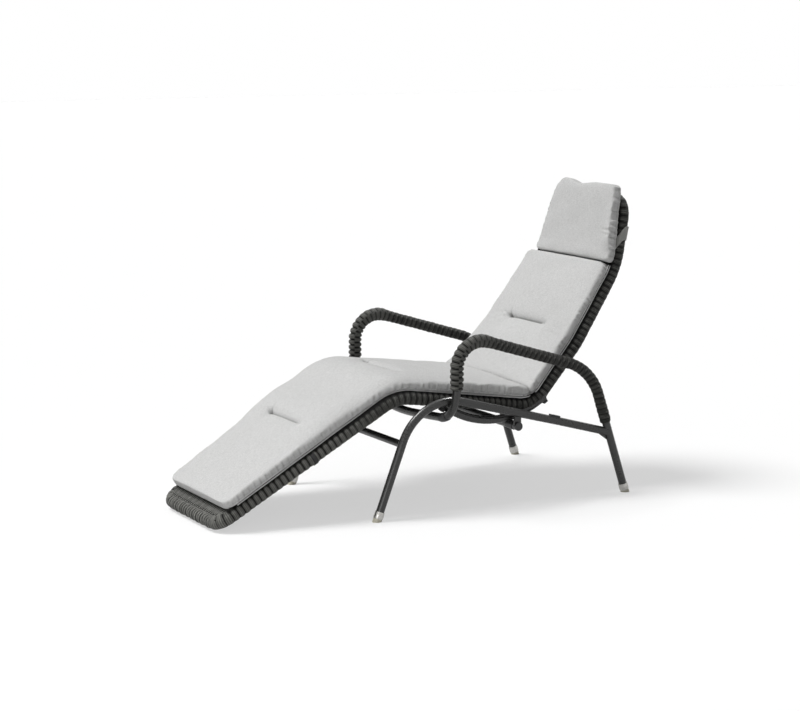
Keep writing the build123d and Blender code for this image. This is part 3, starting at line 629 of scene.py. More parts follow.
def arm_line(side):
    """The arm's centre line from the sleeve's lower front end over the bends to its rear end."""
    rear_z = ARM_FRONT_HEIGHT - ARM_REACH * math.tan(ARM_SLOPE)
    lean = np.array([math.sin(REAR_LEG_LEAN), 0, -math.cos(REAR_LEG_LEAN)])
    joint = np.array([RAIL_JOINT[0] + SHIFT, side * ARM_HALF_WIDTH, RAIL_JOINT[1]])
    points = [
        (SHIFT, side * ARM_HALF_WIDTH, WRAP_START_HEIGHT),
        (SHIFT, side * ARM_HALF_WIDTH, ARM_FRONT_HEIGHT),
        (ARM_REACH + SHIFT, side * ARM_HALF_WIDTH, rear_z),
        joint - lean * WRAP_ABOVE_RAIL,
    ]
    return bent_line(points, (ARM_FRONT_R, ARM_REAR_R), STEP)


# Cushions

# Spans are runs from end to end; sags are (run, depth) pairs for the edge on the sitter's left
CREASE_AT = HIP_AT + 0.002
SEAT_SPAN = (0.042, CREASE_AT - 0.0006)
BACK_SPAN = (CREASE_AT + 0.0006, NECK_AT - 0.004)
HEAD_SPAN = (NECK_AT + 0.002, SIDE_LENGTH + 0.042)
BACK_TUFT = CREASE_AT + BACK_TUFT_PAST_CREASE
SEAT_SAG = ((0.30, 0.0), (0.42, 0.012), (0.70, 0.012), (0.78, 0.006), (0.88, 0.0))
BACK_SAG = ((LUMBAR_AT, 0.0), (NECK_AT, 0.007))
STRAP_AT = NECK_AT + 0.108
HEAD_SAG = ((NECK_AT + 0.035, 0.006), (NECK_AT + 0.10, -0.007), (SIDE_LENGTH, -0.003))


def bump(value, centre, reach):
    """(1 - ((value - centre) / reach)^2)^2 inside the reach, 0 outside it."""
    return np.maximum(0, 1 - ((value - centre) / reach) ** 2) ** 2


class PadShape:
    """Half width, side height and crown of a pad at any run between its two ends."""

    def __init__(self, span, halves, sides, crowns, corner, draw_in=0.0, rise=0.0, full_at=None, creased=()):
        self.span, self.halves, self.sides, self.crowns = span, halves, sides, crowns
        self.corner, self.draw_in, self.rise, self.creased = corner, draw_in, rise, creased
        self.level_span = (0, full_at) if full_at else span

    def share(self, run):
        """0 at the pad's foot end, 1 at its head end."""
        return np.clip((run - self.span[0]) / (self.span[1] - self.span[0]), 0, 1)

    def half(self, run):
        """Straight between the ends, drawn in by a half sine."""
        share = self.share(run)
        narrow, wide = self.halves
        return narrow + (wide - narrow) * share - self.draw_in * np.sin(np.pi * share)

    def side(self, run):
        """Straight between two heights, raised at the calf."""
        rise = self.rise * bump(run, CALF_RISE_AT, CALF_RISE_REACH)
        return np.interp(run, self.level_span, self.sides) + rise

    def crown(self, run):
        """Straight between two heights."""
        return np.interp(run, self.level_span, self.crowns)


SEAT_SHAPE = PadShape(SEAT_SPAN, SEAT_PAD_HALF_WIDTHS, SEAT_SIDES, SEAT_CROWNS, SEAT_PAD_R,
                      PAD_DRAW_IN, CALF_RISE, KNEE_AT, creased=(1,))
BACK_SHAPE = PadShape(BACK_SPAN, BACK_PAD_HALF_WIDTHS, BACK_SIDES, BACK_CROWNS, BACK_PAD_R,
                      PAD_DRAW_IN, creased=(0,))
HEAD_SHAPE = PadShape(HEAD_SPAN, HEAD_PAD_HALF_WIDTHS, HEAD_SIDES, HEAD_CROWNS, HEAD_PAD_R)


def pad_mesh(name, shape, slack):
    """Boxed pad before it is pumped up: rings of bottom, side, top and side along the runs.

    The top is at base + side + slack crown (1 - (y / half)^2); the sides bulge by a tenth of
    their height; corners in plan are quarter circles, and creased ends lose height instead.
    """
    start, end = shape.span
    corner = shape.corner
    side_loss, crown_loss, end_crown_loss, bulge = 0.22, 0.6, 0.5, 0.1
    lead = corner * (1 - np.cos(np.linspace(0, np.pi / 2, 10)))
    inner = np.linspace(start + corner, end - corner, max(24, int((end - start) / 0.012)))
    runs = np.unique(np.concatenate([start + lead, inner, end - lead]))
    half, side, crown = shape.half(runs), shape.side(runs), slack * shape.crown(runs)
    for number, gap in enumerate((runs - start, end - runs)):
        near = np.clip(1 - gap / corner, 0, 1)
        if number in shape.creased:
            side, crown = side * (1 - side_loss * near ** 2), crown * (1 - crown_loss * near ** 2)
        else:
            half = half - corner * (1 - np.sqrt(1 - near ** 2))
            crown = crown * (1 - end_crown_loss * near ** 2)
    flat = np.linspace(-1, 1, 30, endpoint=False)
    rise = np.linspace(0, 1, 8, endpoint=False)
    half, side, crown = half[:, None], side[:, None], crown[:, None]
    swell = side * bulge * 4 * rise * (1 - rise)
    y = np.concatenate([half * flat, half + swell, -half * flat, -half - swell], 1)
    h = PAD_BASE + np.concatenate(
        [0 * half * flat, side * rise, side + crown * (1 - flat ** 2), side * (1 - rise)], 1)
    q = np.broadcast_to(runs[:, None], y.shape)
    middle = PAD_BASE + side / 2
    less = np.array([[0.2], [0.5], [0.8]])
    y = np.concatenate([y[0] * less, y, y[-1] * less[::-1]])
    first, last = middle[0] + (h[0] - middle[0]) * less, middle[-1] + (h[-1] - middle[-1]) * less[::-1]
    h = np.concatenate([first, h, last])
    q = np.concatenate([np.full((3, y.shape[1]), start), q, np.full((3, y.shape[1]), end)])
    return grid_mesh(name, shell_point(q, y, h)[:, ::-1], close_columns=True, ends=True)


def mesh_points(mesh):
    """A mesh's points as an array."""
    co = np.empty(len(mesh.vertices) * 3, np.float32)
    mesh.vertices.foreach_get("co", co)
    return co.reshape(-1, 3).astype(float)


def move_points(mesh, points):
    """Puts a mesh's points at new places."""
    mesh.vertices.foreach_set("co", points.astype(np.float32).ravel())
    mesh.update()


def applied(piece):
    """The piece with its modifiers turned into its mesh."""
    graph = bpy.context.evaluated_depsgraph_get()
    mesh = bpy.data.meshes.new_from_object(piece.evaluated_get(graph))
    old = piece.data
    piece.modifiers.clear()
    piece.data = mesh
    bpy.data.meshes.remove(old)
    return piece


def held(place, shape, lines):
    """Which points the simulation holds: the bottom, the upper seams and the sewn lines."""
    run, y, h = place.T
    start, end = shape.span
    top = PAD_BASE + shape.side(run)
    gap = np.minimum(run - start, end - run)
    near = np.clip(1 - gap / shape.corner, 0, 1)
    half = shape.half(run) - shape.corner * (1 - np.sqrt(1 - near ** 2))
    skin, seam_reach, end_reach, end_level, line_reach = 0.004, 0.0055, 0.005, 0.007, 0.0045
    bottom = h < PAD_BASE + skin
    seam = (np.abs(np.abs(y) - half) < seam_reach) & (np.abs(h - top) < seam_reach)
    ends = (np.minimum(np.abs(run - start), np.abs(run - end)) < end_reach) & (np.abs(h - top) < end_level)
    hold = bottom | seam | ends
    for line in lines:
        hold |= (np.abs(run - line) < line_reach) & (np.abs(y) < TUFT_HALF) & (h > top - skin)
    return hold


def plumped(name, mesh, shape, voxel, pressure, lines, depth):
    """Cushion swollen by cloth simulation.

    The pad is remeshed to even squares, its sewn lines are lowered, and air pressure swells
    it between what is held.  No point moves more than the cap, and one subdivision follows.
    """
    piece = bpy.data.objects.new(name, mesh)
    scene = bpy.context.scene
    scene.collection.objects.link(piece)
    remesh = piece.modifiers.new("Remesh", "REMESH")
    remesh.mode, remesh.voxel_size, remesh.use_smooth_shade = "VOXEL", voxel, True
    applied(piece)
    rest = mesh_points(piece.data)
    place = shell_place(rest)
    hold = held(place, shape, lines)
    low = sum(line_dip(place, line, depth) for line in lines) if lines else np.zeros(len(rest))
    rest = sunk(rest, place, low * top_share(place, shape))
    move_points(piece.data, rest)
    group = piece.vertex_groups.new(name="Held")
    group.add(np.nonzero(hold)[0].tolist(), 1.0, "REPLACE")
    cloth = piece.modifiers.new("Cloth", "CLOTH")
    settings = cloth.settings
    settings.quality = 6
    settings.mass = 0.3
    settings.tension_stiffness = settings.compression_stiffness = 14
    settings.shear_stiffness = 6
    settings.bending_stiffness = 0.5
    settings.use_pressure = True
    settings.uniform_pressure_force = pressure
    settings.vertex_group_mass = "Held"
    settings.pin_stiffness = 1.0
    settings.effector_weights.gravity = 0
    cloth.collision_settings.use_collision = False
    cloth.collision_settings.use_self_collision = False
    cloth.point_cache.frame_start, cloth.point_cache.frame_end = 1, SWELL_FRAMES
    for number in range(1, SWELL_FRAMES + 1):
        scene.frame_set(number)
    applied(piece)
    scene.frame_set(1)
    moved = mesh_points(piece.data) - rest
    length = np.linalg.norm(moved, axis=1, keepdims=True)
    moved *= np.minimum(1, SWELL_CAP / np.maximum(length, 1e-9))
    move_points(piece.data, rest + moved)
    smooth = piece.modifiers.new("Smooth", "SUBSURF")
    smooth.levels = smooth.render_levels = 1
    applied(piece)
    piece.data.shade_smooth()
    return piece


def top_share(place, shape):
    """1 on a pad's top, falling to 0 half way down its sides."""
    side = shape.side(place[:, 0])
    return smooth_step(PAD_BASE + side * 0.45, PAD_BASE + side * 0.95, place[:, 2])


def deck_normal(run):
    """Direction off the deck at a run."""
    angle = np.interp(np.clip(run, 0, SIDE_LENGTH), SIDE_RUNS, SIDE_ANGLE)
    return np.stack([-np.sin(angle), np.zeros_like(angle), np.cos(angle)], 1)


def sunk(points, place, depth):
    """Points moved towards the deck by a depth."""
    return points - deck_normal(place[:, 0]) * np.asarray(depth)[:, None]


def line_dip(place, line, depth):
    """Dip round a sewn line: gentle towards the foot, steep towards the head, fading past its ends.

    depth exp(-(d / w)^1.6), with d from the line and w 30 mm below it and 11 mm above it.
    """
    gentle, steep, fade = 0.030, 0.011, 0.016
    off = place[:, 0] - line
    width = np.where(off < 0, gentle, steep)
    past = np.maximum(np.abs(place[:, 1]) - TUFT_HALF, 0)
    return depth * np.exp(-(np.abs(off) / width) ** 1.6 - (past / fade) ** 2)


def fold(place, start, end, depth, width):
    """Narrow valley along a segment in run and y: depth (1 - t / 1.1) exp(-(d / width)^2)."""
    start, end = np.array(start), np.array(end)
    along = end - start
    away = place[:, :2] - start
    t = np.clip(away @ along / (along @ along), 0, 1)
    d = np.linalg.norm(away - t[:, None] * along, axis=1)
    return depth * (1 - t / 1.1) * np.exp(-(d / width) ** 2)


# Folds at the ends of a tuft line: which end, how far past it in run and y, depth and width
TUFT_FOLDS = ((TUFT_HALF, 0.034, 0.004, 0.0060, 0.0040), (TUFT_HALF, 0.012, 0.046, 0.0050, 0.0050),
              (TUFT_HALF, -0.014, 0.050, 0.0035, 0.0065), (TUFT_HALF, 0.0, 0.008, 0.0035, 0.0060),
              (-TUFT_HALF, 0.016, -0.018, 0.0012, 0.0060))
# STITCH_DEPTH_SEEN is the tuft depth at which the groove's painted shade is full
STITCH_DEPTH, STITCH_DEPTH_SEEN, STITCH_HALF = 0.0062, 0.006, 0.0030


def tuft_folds(place, line):
    """The stitched groove of a sewn line, and the folds that run out from its two ends.

    The groove is depth exp(-(d / w)^2) and fades out at the near end.
    """
    near = smooth_step(-TUFT_HALF - 0.004, -TUFT_HALF + 0.03, place[:, 1])
    inside = near * (place[:, 1] < TUFT_HALF)
    low = STITCH_DEPTH * np.exp(-((place[:, 0] - line) / STITCH_HALF) ** 2) * inside
    for end, past_line, past_end, depth, width in TUFT_FOLDS:
        low = low + fold(place, (line, end), (line + past_line, end + past_end), depth, width)
    return low


def near_sag(place, shape, depths):
    """How far the edge on the sitter's left lies below the other: depths are (run, depth) pairs.

    depth e^2 l, with e from 0 at 45 mm inside the edge to 1 at it and l the level in the side.
    """
    run, y, h = place.T
    runs, sizes = zip(*depths)
    inward = 0.045
    edge = np.clip(1 - (shape.half(run) + y) / inward, 0, 1)
    level = np.clip((h - PAD_BASE) / shape.side(run), 0, 1)
    return np.interp(run, runs, sizes) * edge * edge * level


def crease_line(place, shape):
    """Thin valley where a pad meets its neighbour at a creased end: exp(-(d / w)^2)."""
    dip, width = 0, 0.0045
    for number in shape.creased:
        dip = dip + np.exp(-((place[:, 0] - shape.span[number]) / width) ** 2)
    return dip


def waves(values, count, low, high, seed):
    """Sum of sines of random length between two limits, scaled to about -1..1."""
    rng = np.random.default_rng(seed)
    total = 0
    for _ in range(count):
        total = total + np.sin(values * (2 * np.pi / rng.uniform(low, high)) + rng.uniform(0, 2 * np.pi))
    return total / math.sqrt(count)


def gathered(points, place, shape, amount, seed):
    """Sides puckered along the seams and drawn in under the pad.

    Short and long waves along the run are largest at half height, and the undercut grows
    with the square of the way down over the lowest third.
    """
    run, y, h = place.T
    side = shape.side(run)
    half = shape.half(run)
    level = np.clip((h - PAD_BASE) / side, 0, 1)
    on_side = smooth_step(half - 0.012, half - 0.002, np.abs(y))
    swing = np.sin(np.pi * level)
    pucker = waves(run, 5, 0.009, 0.024, seed) * swing * on_side * amount
    long = waves(run, 3, 0.05, 0.12, seed + 1) * swing * on_side * amount * 0.8
    under = UNDERCUT * np.clip(1 - level / 0.3, 0, 1) ** 2 * smooth_step(0.04, 0.0, half - np.abs(y))
    out = np.sign(y) * (pucker + long - under)
    return points + np.stack([np.zeros_like(run), out, np.zeros_like(run)], 1)


def rolled(points, place, shape, seed):
    """Top with slow hollows and swells: sums of sines of run + 0.4 y and of y - 0.3 run."""
    run, y, _ = place.T
    wave = waves(run + 0.4 * y, 4, 0.09, 0.25, seed) + waves(y - 0.3 * run, 3, 0.08, 0.2, seed + 1)
    return sunk(points, place, ROLLS * wave * top_share(place, shape))


def sides_painted_shade(place, shape):
    """Painted shade along the foot of the sides: a thin seam line above the piping, wider by the crease."""
    run, y, h = place.T
    line_level, line_width, crease_reach = 0.0130, 0.0014, 0.15
    side = smooth_step(shape.half(run) - 0.008, shape.half(run) - 0.003, np.abs(y))
    line = 0.45 * np.exp(-((h - PAD_BASE - line_level) / line_width) ** 2)
    painted_shade = (1 - smooth_step(0.0125, 0.0150, h - PAD_BASE)) * bump(run, CREASE_AT, crease_reach)
    return side * np.maximum(line, painted_shade)


def dress_cushion(piece, finish, place, seam):
    """Stores the cloth's own coordinates and the painted shade along its sewn lines and creases, and gives
    the cushion its cover.
    """
    mesh = piece.data
    lines = mesh.attributes.new("seam", "FLOAT", "POINT")
    lines.data.foreach_set("value", np.clip(seam, 0, 1).astype(np.float32))
    cloth = mesh.attributes.new("cloth", "FLOAT_VECTOR", "POINT")
    cloth.data.foreach_set("vector", place.astype(np.float32).ravel())
    mesh.materials.clear()
    mesh.materials.append(finish)


def tube_along(line, radius, columns=8):
    """Rings of a round tube along a line: C(s) + r (cos t side + sin t up)."""
    _, side, up = path_frames(line, (0.02, 1, 0.03))
    t = np.linspace(0, 2 * np.pi, columns, endpoint=False)
    ring = np.cos(t)[None, :, None] * side[:, None, :] + np.sin(t)[None, :, None] * up[:, None, :]
    return line[:, None, :] + radius * ring


def joined(name, grids):
    """One mesh of several closed tubes: quads between neighbours and one face at each end."""
    rows, columns = grids[0].shape[:2]
    index = np.arange(rows * columns).reshape(rows, columns)
    after = np.roll(index, -1, axis=1)
    quads = np.stack([index[:-1], after[:-1], after[1:], index[1:]], -1).reshape(-1, 4)
    faces = []
    for offset in range(0, len(grids) * rows * columns, rows * columns):
        faces += (quads + offset).tolist() + (index[[0, -1]] + offset).tolist()
        faces[-2].reverse()
    whole = bpy.data.meshes.new(name)
    whole.from_pydata(np.concatenate(grids).reshape(-1, 3).tolist(), [], faces)
    whole.shade_smooth()
    return whole


class ARMCHAIR_OT_tubes(bpy.types.Operator):
    """Coat the bare tubes, rails, runners and brackets"""

    bl_idname = "armchair.tubes"
    bl_label = "Bare tubes"

    def execute(self, context):
        colours = context.scene.armchair_colours
        coat = powder_coat("powder_coat", colours.tube, roughness=0.29)
        wear(("front_hoop_tube", "left_rear_leg_tube", "right_rear_leg_tube", "arm_spigots", "left_side_rail",
              "right_side_rail", "rear_joint_gussets", "leg_stretcher", "rear_cross_tube",
              "cross_tube_brackets", "shell_frame", "shell_braces", "left_runner", "right_runner"), coat)
        return {"FINISHED"}


class ARMCHAIR_OT_fittings(bpy.types.Operator):
    """Finish the sleeves, caps, stops, rail pads, ferrules and glides"""

    bl_idname = "armchair.fittings"
    bl_label = "Fittings and feet"

    def execute(self, context):
        colours = context.scene.armchair_colours
        wear(("cross_tube_caps", "front_runner_sleeves", "rear_runner_sleeves"),
             plastic_finish("black_plastic", BLACK_PLASTIC, roughness=0.45))
        wear(("rail_pads", "runner_stops"), plastic_finish("black_rubber", BLACK_RUBBER, roughness=0.7))
        wear(("foot_ferrules",), polished_finish("polished_ferrule"))
        wear(("foot_glides",), plastic_finish("pale_plastic", colours.glide, roughness=0.5))
        return {"FINISHED"}


def band_round(t, centre, inner, outer):
    """1 on a band of the round up to inner from its centre, easing to 0 at outer."""
    off = np.abs((t - centre + np.pi) % (2 * np.pi) - np.pi)
    return 1 - smooth_step(inner, outer, off)


def closed_down(points, line, close):
    """Winding narrowed towards the bare tube where close falls from 1 to 0 at its two ends.

    r becomes least + (r - least) (stays + (1 - stays) close).
    """
    centre = line[:, None, :]
    reach = np.linalg.norm(points - centre, axis=2, keepdims=True)
    least, stays = TUBE_R + 0.0002, 0.15
    kept = stays + (1 - stays) * close[:, None, None]
    return centre + (points - centre) / reach * (least + (reach - least) * kept)


class ARMCHAIR_OT_arm_wraps(bpy.types.Operator):
    """Wind the strands round both arms"""

    bl_idname = "armchair.arm_wraps"
    bl_label = "Arm windings"

    def execute(self, context):
        """Bunches on one half of the round are set half a bunch on from those on the other.

        The two halves meet in two raised bands, where the strands cross as in a braid.  With
        front falling from 1 on the upright to 0 past the bend, radius and pitch go from their
        front to their rear values.  The groove is groove (0.55 + 1.05 lobes), lobes falling
        from 1 to 0 up the upright.  A painted highlight marks the middle of each bunch on a band,
        and the upright is painted lighter as if lit from the front.
        """
        sizes, colours = context.scene.armchair_sizes, context.scene.armchair_colours
        # The arms wear a darker copy of the strand colour: painted shade
        finish = strand_finish("arm_strand", tuple(c * ARM_PAINTED_SHADE for c in colours.strand), 4.0)
        t = np.linspace(0, 2 * np.pi, WRAP_COLUMNS + 1)
        for side, name in ((-1, "left"), (1, "right")):
            dense = arm_line(side)
            total = run_lengths(dense)[-1]
            s = np.arange(0, total, WRAP_STEP)
            line = resampled(dense, s)
            bend_end = (ARM_FRONT_HEIGHT - WRAP_START_HEIGHT) + WRAP_PAST_BEND
            front = 1 - smooth_step(bend_end, bend_end + WRAP_TAPER, s)
            radius = WRAP_REAR_R + (WRAP_FRONT_R - WRAP_REAR_R) * front
            pitch = sizes.wrap_rear_pitch + (sizes.wrap_pitch - sizes.wrap_rear_pitch) * front
            outer, inner = side * BRAID_OUTER, math.pi - side * BRAID_INNER
            braid = band_round(t, outer, *BRAID_BAND) + band_round(t, inner, *BRAID_BAND)
            turned = (side * (t - outer) + (0 if side > 0 else 2 * np.pi)) % (2 * np.pi)
            span = (side * (inner - outer)) % (2 * np.pi)
            rear = smooth_step(-0.1, 0.1, span - turned) * smooth_step(-0.1, 0.1, turned)
            lobes = 1 - smooth_step(*LOBES_FADE, s)[:, None]
            phase = phase_along(line, pitch)
            depth = sizes.groove * (0.55 + 1.05 * lobes)
            points, uv, painted_relief_shade = wound_surface(
                line, (0, side, 0), radius, phase, depth, WRAP_COLUMNS, 11 + side,
                shift=0.5 * (1 - rear[None, :]), lump=-BRAID_RISE * braid[None, :-1],
                round_off=BUNCH_ROUND_OFF)
            # dash: a painted highlight in the middle of each bunch on the braid bands, and painted light over
            # the front upright
            off = np.abs((phase + 0.25) % 1.0 - 0.5)[:, None]
            dash = braid[None, :-1] * (1 - smooth_step(0.10, 0.22, off)) * (1 - 0.6 * front[:, None])
            dash = np.maximum(dash, ARM_FRONT_PAINTED_LIGHT * front[:, None])
            close = np.minimum(smooth_step(0, WRAP_CLOSE, s), smooth_step(0, WRAP_CLOSE, total - s))
            points = closed_down(points, line, close)
            mesh = grid_mesh(f"{name}_arm_winding", points, close_columns=True, ends=True, uv=uv,
                             values={"painted_relief_shade": painted_relief_shade, "dash": dash})
            new_piece(f"{name}_arm_winding", mesh, "base", finish, (f"{name}_arm_wrap",))
        return {"FINISHED"}


class ARMCHAIR_OT_woven_rim(bpy.types.Operator):
    """Wind the strands round the shell's rim: two sides, the foot end and the head end"""

    bl_idname = "armchair.woven_rim"
    bl_label = "Woven rim"

    def execute(self, context):
        sizes, colours = context.scene.armchair_sizes, context.scene.armchair_colours
        finish = strand_finish("rim_strand", colours.strand, 4.0)
        # The foot end wears a lighter copy of the strand colour: painted light
        paired = strand_finish("foot_strand", tuple(c * FOOT_PAINTED_LIGHT for c in colours.strand), 3.0)
        foot_turn, head_turn = SHELL_HALF_WIDTHS[0] - FOOT_TURN, SHELL_HALF_WIDTHS[-1] - HEAD_TURN
        self.sides(sizes, finish, foot_turn, head_turn)
        self.end("foot", -1, foot_turn, sizes.deck_pitch * 2, FOOT_GROOVE, 31, paired)
        self.end("head", 1, head_turn, sizes.rim_pitch, sizes.groove, 32, finish)
        return {"FINISHED"}

    def sides(self, sizes, finish, foot_turn, head_turn):
        """The two long windings: calm below the knee, with painted shade along the top beside the cushions.

        upper is the height on the round, -1 to 1.  The groove is groove (0.85 + 0.32 upper),
        halved where calm is 1, a third less on the back and shallow at the foot corner.  Painted
        shade lowers painted_relief_shade where upper passes 0.62, a little on the upper half where
        calm is 1, and by a fifth on the back; dash lightens the strands near the foot.
        """
        for side, name in ((-1, "left"), (1, "right")):
            dense = rim_half_line(side)
            total = run_lengths(dense)[-1]
            s = np.arange(foot_turn, total - head_turn + 0.0008, RIM_STEP)
            line = resampled(dense, s)
            t = np.linspace(0, 2 * np.pi, RIM_COLUMNS, endpoint=False)[None, :]
            run = shell_place(line)[:, 0]
            calm = bump(run, CALM_AT, CALM_REACH)[:, None]
            upper = side * np.sin(t) + 0 * s[:, None]
            past_corner = smooth_step(foot_turn, foot_turn + 0.09, s)[:, None]
            back = smooth_step(0.8, 1.1, run)[:, None]
            depth = sizes.groove * (0.85 + 0.32 * upper) * (1 - 0.5 * calm) * (1 - 0.35 * back)
            depth = depth * (0.3 + 0.7 * past_corner)
            points, uv, painted_relief_shade = wound_surface(
                line, (0, side, 0.0001), np.full(len(s), RIM_R), phase_along(line, sizes.rim_pitch),
                depth, RIM_COLUMNS, 21 + side, round_off=BUNCH_ROUND_OFF)
            # Painted shade along the top under the cushions' edge and, more lightly, below the knee; the back
            # is painted a fifth darker
            painted_shade = 0.70 * smooth_step(0.62, 0.92, upper) + 0.15 * calm * smooth_step(0.0, 0.4, upper)
            painted_relief_shade = painted_relief_shade * np.clip(1 - painted_shade * past_corner, 0, 1) * (1 - 0.2 * back)
            # Painted light on the strands near the foot
            dash = RIM_PAINTED_LIGHT * (1 - smooth_step(*RIM_PAINTED_LIGHT_FADES, run))[:, None] * np.ones(upper.shape)
            mesh = grid_mesh(f"{name}_rim_winding", points, close_columns=True, ends=True, uv=uv,
                             values={"painted_relief_shade": painted_relief_shade, "dash": dash})
            new_piece(f"{name}_rim_winding", mesh, "shell", finish, ("woven_rim",))

    def end(self, name, outward, turn, pitch, groove, seed, finish):
        """The winding across one end; the foot end has shallow lumps along its lower front.

        A lump is FOOT_LUMP (1 - |sin(pi s / pitch)|^0.7) (0.6 cos t - sin t), where above 0.
        """
        left, right = rim_half_line(-1), rim_half_line(1)
        if outward > 0:
            left, right = left[::-1], right[::-1]
        dense = np.concatenate([left[::-1], right[1:]])
        middle = run_lengths(dense)[-1] / 2
        s = np.arange(middle - turn, middle + turn + 0.0005, RIM_END_STEP)
        line = resampled(dense, s)
        lump, round_off = 0.0, HEAD_ROUND_OFF
        if outward < 0:
            t = np.linspace(0, 2 * np.pi, RIM_COLUMNS, endpoint=False)[None, :]
            wave = 1 - np.abs(np.sin(np.pi * (s - middle)[:, None] / FOOT_LUMP_PITCH)) ** 0.7
            lump = FOOT_LUMP * wave * np.clip(np.cos(t) * 0.6 - np.sin(t), 0, 1)
            round_off = FOOT_ROUND_OFF
        points, uv, painted_relief_shade = wound_surface(
            line, (outward, 0, 0.001), np.full(len(s), RIM_R), phase_along(line, pitch), groove,
            RIM_COLUMNS, seed, lump=lump, round_off=round_off)
        mesh = grid_mesh(f"{name}_rim_winding", points, close_columns=True, ends=True, uv=uv,
                         values={"painted_relief_shade": painted_relief_shade})
        new_piece(f"{name}_rim_winding", mesh, "shell", finish, ("woven_rim",))


class ARMCHAIR_OT_woven_deck(bpy.types.Operator):
    """Weave the deck between the rims"""

    bl_idname = "armchair.woven_deck"
    bl_label = "Woven deck"

    def execute(self, context):
        """Ridges |sin|^0.7 across the width, alternate strands rising and falling along it.

        The top is at RIM_R - DECK_TOP + ridge + cross, with cross a sine of the run that
        changes sign from strand to strand, and the underside is at RIM_R - DECK_UNDER - ridge
        + cross.  A row of stitches crosses the top at the foot end, where the rows are finer; it
        is only painted, as dots of painted shade and of painted highlight.  The gaps between
        strand pairs get painted shade too.
        """
        sizes, colours = context.scene.armchair_sizes, context.scene.armchair_colours
        # The deck wears a lighter copy of the strand colour: painted light
        finish = strand_finish("deck_strand", tuple(c * DECK_PAINTED_LIGHT for c in colours.strand), 1.0)
        ridge_top, ridge_under, cross_rise = 0.0014, 0.0010, 0.0006
        run = np.concatenate([np.linspace(0.0, 0.040, 20), np.linspace(0.0, SIDE_LENGTH, 235)[8:]])
        strands = int(2 * max(SHELL_HALF_WIDTHS) / sizes.deck_pitch)
        share = np.linspace(-1, 1, strands * 3 + 1)
        half = shell_half_width(run) - DECK_INSIDE
        count = (share + 1) / 2 * strands
        ridge = np.abs(np.sin(np.pi * count)) ** 0.7
        turn = np.floor(count)[None, :] % 2 * 2 - 1
        cross = np.sin(run / WEAVE_HALF * np.pi)[:, None] * turn
        top = RIM_R - DECK_TOP + ridge_top * ridge[None, :] + cross_rise * cross
        low = RIM_R - DECK_UNDER - ridge_under * ridge[None, :] + cross_rise * cross
        y = half[:, None] * share[None, :]
        q = np.broadcast_to(run[:, None], y.shape)
        upper, under = shell_point(q, y, top), shell_point(q, y, low)
        points = np.concatenate([upper, under[:, ::-1]], 1)
        # Painted shade between strand pairs
        pair = 0.25 * ridge + 0.75 * (1 - np.abs(count % 2 - 1) ** 4)
        painted_relief_shade = np.broadcast_to(np.concatenate([pair, pair[::-1]]), points.shape[:2])
        # Stitch row: dots of painted shade with painted highlights between them
        off = np.abs(y / STITCH_PITCH % 1.0 - 0.5)
        row = np.exp(-((q - STITCH_RUN) / STITCH_WIDTH) ** 2)
        stitch_painted_shade = row * (1 - smooth_step(0.16, 0.30, off))
        stitch_painted_highlight = row * smooth_step(0.30, 0.42, off)
        painted_relief_shade = painted_relief_shade * (1 - np.concatenate([stitch_painted_shade, 0 * stitch_painted_shade], 1))
        dash = np.concatenate([stitch_painted_highlight, 0 * stitch_painted_highlight], 1)
        lines = np.concatenate([count, count[::-1], count[:1]])
        u = np.broadcast_to(lines, (len(run), len(lines)))
        v = np.broadcast_to(run[:, None], u.shape)
        mesh = grid_mesh("woven_deck_sheet", points[:, ::-1], close_columns=True, ends=True,
                         uv=(u[:, ::-1], v), values={"painted_relief_shade": painted_relief_shade[:, ::-1], "dash": dash[:, ::-1]})
        new_piece("woven_deck_sheet", mesh, "shell", finish, ("woven_deck",))
        return {"FINISHED"}


def askew(points, place):
    """The head pillow as it hangs: slid to the sitter's left, its upper edge uneven.

    That edge sags in the middle, its far corner sags more, and a peak stands between them.
    Each is a height times a bump or step in y times a step in the share of the run.
    """
    share, y = HEAD_SHAPE.share(place[:, 0]), place[:, 1]
    slide = -PILLOW_SLIDE - PILLOW_TURN * share
    sag = -0.009 * bump(y, 0.045, 0.11) * smooth_step(0.7, 1.0, share)
    sag = sag - 0.016 * smooth_step(0.115, 0.165, y) * smooth_step(0.5, 1.0, share)
    sag = sag + 0.0085 * bump(y, 0.100, 0.070) * smooth_step(0.75, 1.0, share)
    run = np.clip(place[:, 0], 0, SIDE_LENGTH)
    angle = np.interp(run, SIDE_RUNS, SIDE_ANGLE)
    along = np.stack([np.cos(angle), np.zeros_like(angle), np.sin(angle)], 1)
    return points + np.stack([0 * share, slide, 0 * share], 1) + along * sag[:, None]


def pinched(points, place, shape):
    """Two short folds where the strap pulls at the pillow's edge."""
    edge = -shape.half(STRAP_AT)
    turn, reach, depth, width = 0.002, 0.036, 0.0038, 0.0048
    for start in (STRAP_AT - 0.016, STRAP_AT - 0.003):
        pull = fold(place, (start, edge), (start + turn, edge + reach), depth, width)
        points = sunk(points, place, pull)
    return points


# Name, shape, size of a remeshed square, sewn lines, body, seed and sags of each cushion
CUSHIONS = (("seat_cushion", SEAT_SHAPE, 0.0070, (LEG_TUFT, KNEE_TUFT), "shell", 3, SEAT_SAG),
            ("back_cushion", BACK_SHAPE, 0.0060, (BACK_TUFT,), "shell", 5, BACK_SAG),
            ("head_cushion", HEAD_SHAPE, 0.0052, (), "headrest", 7, HEAD_SAG))


